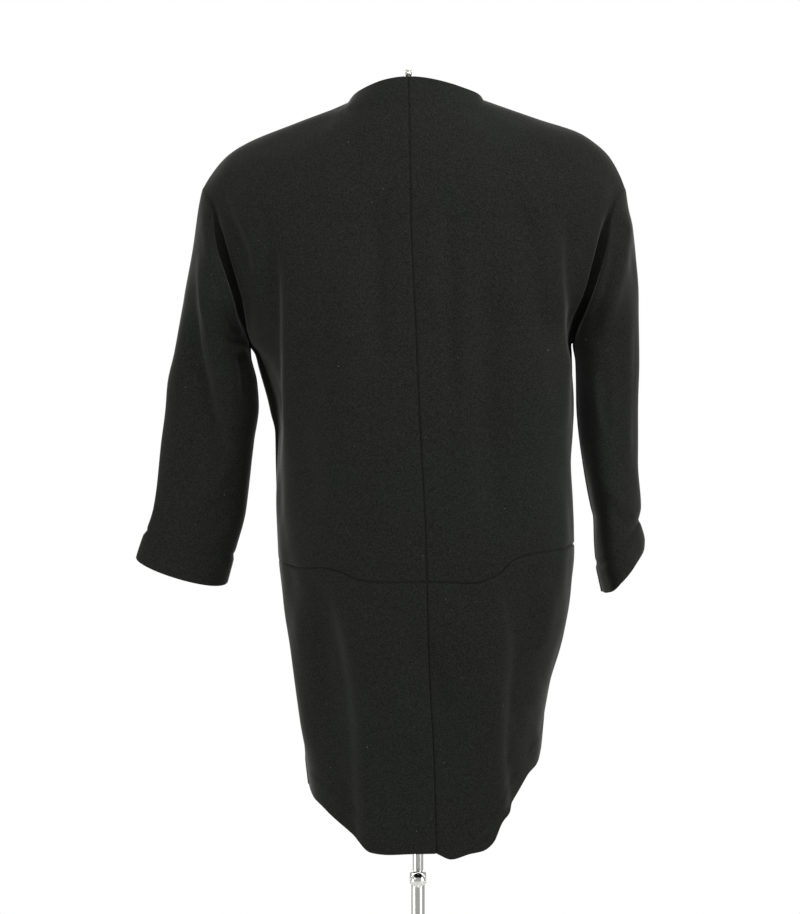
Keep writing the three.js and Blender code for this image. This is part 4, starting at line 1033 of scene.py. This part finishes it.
# ---------------------------------------------------------------- milled wool
# A dense near-black melton: matt, with a short nap that lifts the light at a glancing angle, a barely
# visible mottle from the blended yarns, and a few pale specks of lint caught in the nap.
WOOL_DARK, WOOL_LIGHT = (0.0063, 0.0070, 0.0064, 1), (0.0205, 0.0223, 0.0204, 1)
WOOL_WARM, WOOL_COOL = (1.05, 1.0, 0.93, 1), (0.97, 1.01, 0.99, 1)

wool, tree, shader = new_finish("milled_wool", {
    "Roughness": 0.88, "Specular IOR Level": 0.12, "Sheen Weight": 0.2, "Sheen Roughness": 0.38,
    "Sheen Tint": (0.78, 0.79, 0.76, 1),
})
place = tree.nodes.new("ShaderNodeTexCoord").outputs["Object"]
cloth_place = tree.nodes.new("ShaderNodeUVMap")
cloth_place.uv_map = "cloth"
mottle = noise_at(tree, place, 620, 3, 0.75)
base = ramp(tree, mottle, [(0.39, WOOL_DARK), (0.63, WOOL_LIGHT)])
tone = noise_at(tree, place, 4.5, 2, 0.5)
tint = ramp(tree, tone, [(0.38, WOOL_COOL), (0.62, WOOL_WARM)])
dyed = tree.nodes.new("ShaderNodeMix")
dyed.data_type = "RGBA"
dyed.blend_type = "MULTIPLY"
dyed.inputs["Factor"].default_value = 1.0
tree.links.new(base, dyed.inputs["A"])
tree.links.new(tint, dyed.inputs["B"])
tree.links.new(dyed.outputs["Result"], shader.inputs["Base Color"])
nap = noise_at(tree, cloth_place.outputs["UV"], 1100, 2, 0.6, (1, 0.45, 1))
fibres = noise_at(tree, place, 1700, 3, 0.7)
bumped(tree, shader, [(mottle, 0.25, 0.0004), (nap, 0.4, 0.0003), (fibres, 0.35, 0.0002)])


# ---------------------------------------------------------------- the coat's six pieces
# Each is one thickness of wool. Where two are sewn the cloth turns in, so a seam is a fine groove; inside, the
# seam allowances are pressed open and the hem and cuffs are turned up.
SEAM_SINK, SEAM_ROLL = 2.0, 1.35
SEAM_MEET = 0.2             # the allowances meet inside, where the seam is sewn
EDGE_SINK, EDGE_ROLL = 0.9, 0.9
ALLOWANCE, ALLOWANCE_THICK, TURNING_THICK = 11, 0.9, 1.4
PRESSED = 0.8               # how softly the allowances' and turnings' edges show
SHARP_FROM = 55             # an angle between two faces that shows as an edge
CLEAR_Z = 1290              # above this the cloth lies on the form, with no allowance to spare

sink = SEAM_SINK * bell(seam_run, SEAM_ROLL) + EDGE_SINK * bell(edge_run, EDGE_ROLL)
extra = np.maximum(ALLOWANCE_THICK * within(seam_run, ALLOWANCE, PRESSED),
                   TURNING_THICK * within(edge_run, HEM_TURNING, PRESSED))
extra *= np.clip((CLEAR_Z - points[:, 2]) / 20, 0, 1)


def inward_of(rim):
    """At each point of a piece's rim, which way its own cloth lies; nothing where the rim turns back."""
    way = np.zeros((len(points), 3))
    step = points[rim[:, 1]] - points[rim[:, 0]]
    step /= np.maximum(np.linalg.norm(step, axis=1), 1e-9)[:, None]
    for k in range(2):
        np.add.at(way, rim[:, k], step)
    inward = np.cross(normals, way)
    length = np.linalg.norm(inward, axis=1)
    return inward * np.where(length > 0.4, 1 / np.maximum(length, 0.4), 0)[:, None]


def cloth_piece(name):
    """One piece of the coat: its quads' outer and inner faces, and a band round its rim."""
    local = quads[quad_piece == piece_numbers[name]]
    corners = weld[local]
    apart = (np.diff(np.sort(corners, axis=1), axis=1) > 0).all(axis=1)
    whole, torn = corners[apart], triangles_of(corners[~apart])
    triangles = triangles_of(corners)
    edges = np.concatenate([triangles[:, [0, 1]], triangles[:, [1, 2]], triangles[:, [2, 0]]])
    pair = edges[:, 0].astype(np.int64) * len(points) + edges[:, 1]
    mate = edges[:, 1].astype(np.int64) * len(points) + edges[:, 0]
    rim = edges[~np.isin(pair, mate)]
    inward = inward_of(rim)
    ids = np.unique(triangles)
    place_of = np.full(len(points), -1)
    place_of[ids] = np.arange(len(ids))
    cut = points[ids] + inward[ids] * SEAM_GAP / 2
    outer = cut - normals[ids] * sink[ids, None]
    meet = np.where(seam_run[ids] < 1e-6, SEAM_MEET, 0)[:, None]
    inner = cut - inward[ids] * meet - normals[ids] * (CLOTH + extra[ids])[:, None]
    size = len(ids)
    whole, torn, rim = place_of[whole], place_of[torn], place_of[rim]
    band = np.stack([rim[:, 0], rim[:, 0] + size, rim[:, 1] + size, rim[:, 1]], axis=1)
    faces = np.concatenate([whole, whole[:, ::-1] + size, band]).tolist()
    faces += np.concatenate([torn, torn[:, ::-1] + size]).tolist()
    mesh = bpy.data.meshes.new("wool_" + name)
    mesh.from_pydata((np.concatenate([outer, inner]) * MM).tolist(), [], faces)
    places = np.zeros((len(points), 2))
    places[weld[local.ravel()]] = net["flat"][local.ravel()] * MM
    corner_of = np.empty(len(mesh.loops), np.int32)
    mesh.loops.foreach_get("vertex_index", corner_of)
    mesh.uv_layers.new(name="cloth").data.foreach_set("uv", places[ids[corner_of % size]].ravel())
    mesh.shade_smooth()
    mesh.set_sharp_from_angle(angle=math.radians(SHARP_FROM))
    mesh.materials.append(wool)
    piece = in_scene("wool_" + name, mesh)
    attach(piece, "coat_on_form")
    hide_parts(name)
    return piece


pieces = []
for side in ("left", "right"):
    pieces += [cloth_piece(f"back_upper_{side}"),
               cloth_piece(f"back_lower_{side}"),
               cloth_piece(f"front_{side}")]

# ---------------------------------------------------------------- lint
# Pale specks of lint have settled in the nap: short curled fibres, no longer than a millimetre or two, thinly
# scattered over each piece.
LINT = (0.34, 0.33, 0.30, 1)

lint = new_finish("pale_lint", {"Base Color": LINT, "Roughness": 0.95})[0]

specks, sizes = node_tree("lint_specks", "Per square metre, Thickness, Length, Seed")
scattered = specks.nodes.new("GeometryNodeDistributePointsOnFaces")
fibre = specks.nodes.new("GeometryNodeMeshIcoSphere")
turns = specks.nodes.new("FunctionNodeRandomValue")
turns.data_type = "FLOAT_VECTOR"
turns.inputs["Max"].default_value = (2 * math.pi, 2 * math.pi, 2 * math.pi)
scales = specks.nodes.new("FunctionNodeRandomValue")
scales.inputs["Min"].default_value = 0.5
scales.inputs["Max"].default_value = 1.3
long_fibre = drawn_out(specks, fibre.outputs["Mesh"], sizes["Length"])
placed = set_out(specks, scattered.outputs["Points"], long_fibre, lint)
for start, end in (
    (sizes["Geometry"], scattered.inputs["Mesh"]), (sizes["Per square metre"], scattered.inputs["Density"]),
    (sizes["Seed"], scattered.inputs["Seed"]), (sizes["Seed"], turns.inputs["Seed"]),
    (sizes["Thickness"], fibre.inputs["Radius"]), (turns.outputs["Value"], placed.inputs["Rotation"]),
    (scales.outputs[1], placed.inputs["Scale"]),
):
    specks.links.new(start, end)
for number, piece in enumerate(pieces):
    lint_piece = grown(piece.name + "_lint", piece.data, specks, {
        "Per square metre": 110.0, "Thickness": 0.22 * MM, "Length": 2.6, "Seed": number + 3,
    })
    fitted(lint_piece, "coat_on_form", "wool")

# ---------------------------------------------------------------- stage
# A plain pale floor in a white room, lit by a large softbox at either hand of the eye, one overhead, a weak one
# on the left, two low ones by the skirt, and two beyond the coat.
PALE = (0.82, 0.82, 0.81, 1)
FLOOR_REACH, FLOOR_DROP = 2.2, 0.0002
ROOM_GLOW = 0.36
pale = new_finish("pale_floor", {"Base Color": PALE, "Roughness": 0.75})[0]
floor = turned("floor", [(FLOOR_REACH / MM, 0), (0, 0)], pale, 128)
floor.data.transform(Matrix.Translation((0, 0, -FLOOR_DROP)))

world = bpy.data.worlds.new("white_room")
world.use_nodes = True
tree = world.node_tree
glow = tree.nodes["Background"]
glow.inputs["Color"].default_value = (1, 1, 1, 1)
glow.inputs["Strength"].default_value = ROOM_GLOW
backdrop = tree.nodes.new("ShaderNodeBackground")
backdrop.inputs["Color"].default_value = (1, 1, 1, 1)
ray = tree.nodes.new("ShaderNodeLightPath")
seen = tree.nodes.new("ShaderNodeMixShader")
tree.links.new(ray.outputs["Is Camera Ray"], seen.inputs["Fac"])
tree.links.new(glow.outputs["Background"], seen.inputs[1])
tree.links.new(backdrop.outputs["Background"], seen.inputs[2])
tree.links.new(seen.outputs["Shader"], tree.nodes["World Output"].inputs["Surface"])
bpy.context.scene.world = world
bpy.context.scene.view_settings.view_transform = "Standard"


# Each softbox has a place, a height on the pole's axis that it is turned to, a width, a height and its watts.
for name, place, aim_z, width, height, watts in (
    ("left_softbox", (-1.9, -2.5, 1.7), 1.0, 1.5, 2.0, 6),
    ("right_softbox", (2.4, -1.9, 1.2), 0.95, 1.5, 2.2, 33),
    ("top_softbox", (0.2, -0.9, 2.35), 1.25, 1.6, 1.2, 15),
    ("side_left_softbox", (-2.0, 0.2, 1.1), 0.95, 1.6, 2.0, 2),
    ("low_left_softbox", (-1.6, -0.5, 0.3), 0.5, 1.0, 0.8, 7),
    ("low_right_softbox", (1.6, -0.9, 0.3), 0.6, 1.0, 0.9, 1),
    ("far_left_softbox", (-1.0, 3.2, 1.7), 0.9, 1.4, 2.0, 34),
    ("far_right_softbox", (1.0, 3.2, 1.7), 0.9, 1.4, 2.0, 34),
):
    light = bpy.data.lights.new(name, "AREA")
    light.shape = "RECTANGLE"
    light.size, light.size_y = width, height
    light.energy = watts
    lamp = in_scene(name, light)
    lamp.location = place
    lamp.rotation_euler = (Vector((0, 0, aim_z)) - Vector(place)).to_track_quat("-Z", "Y").to_euler()
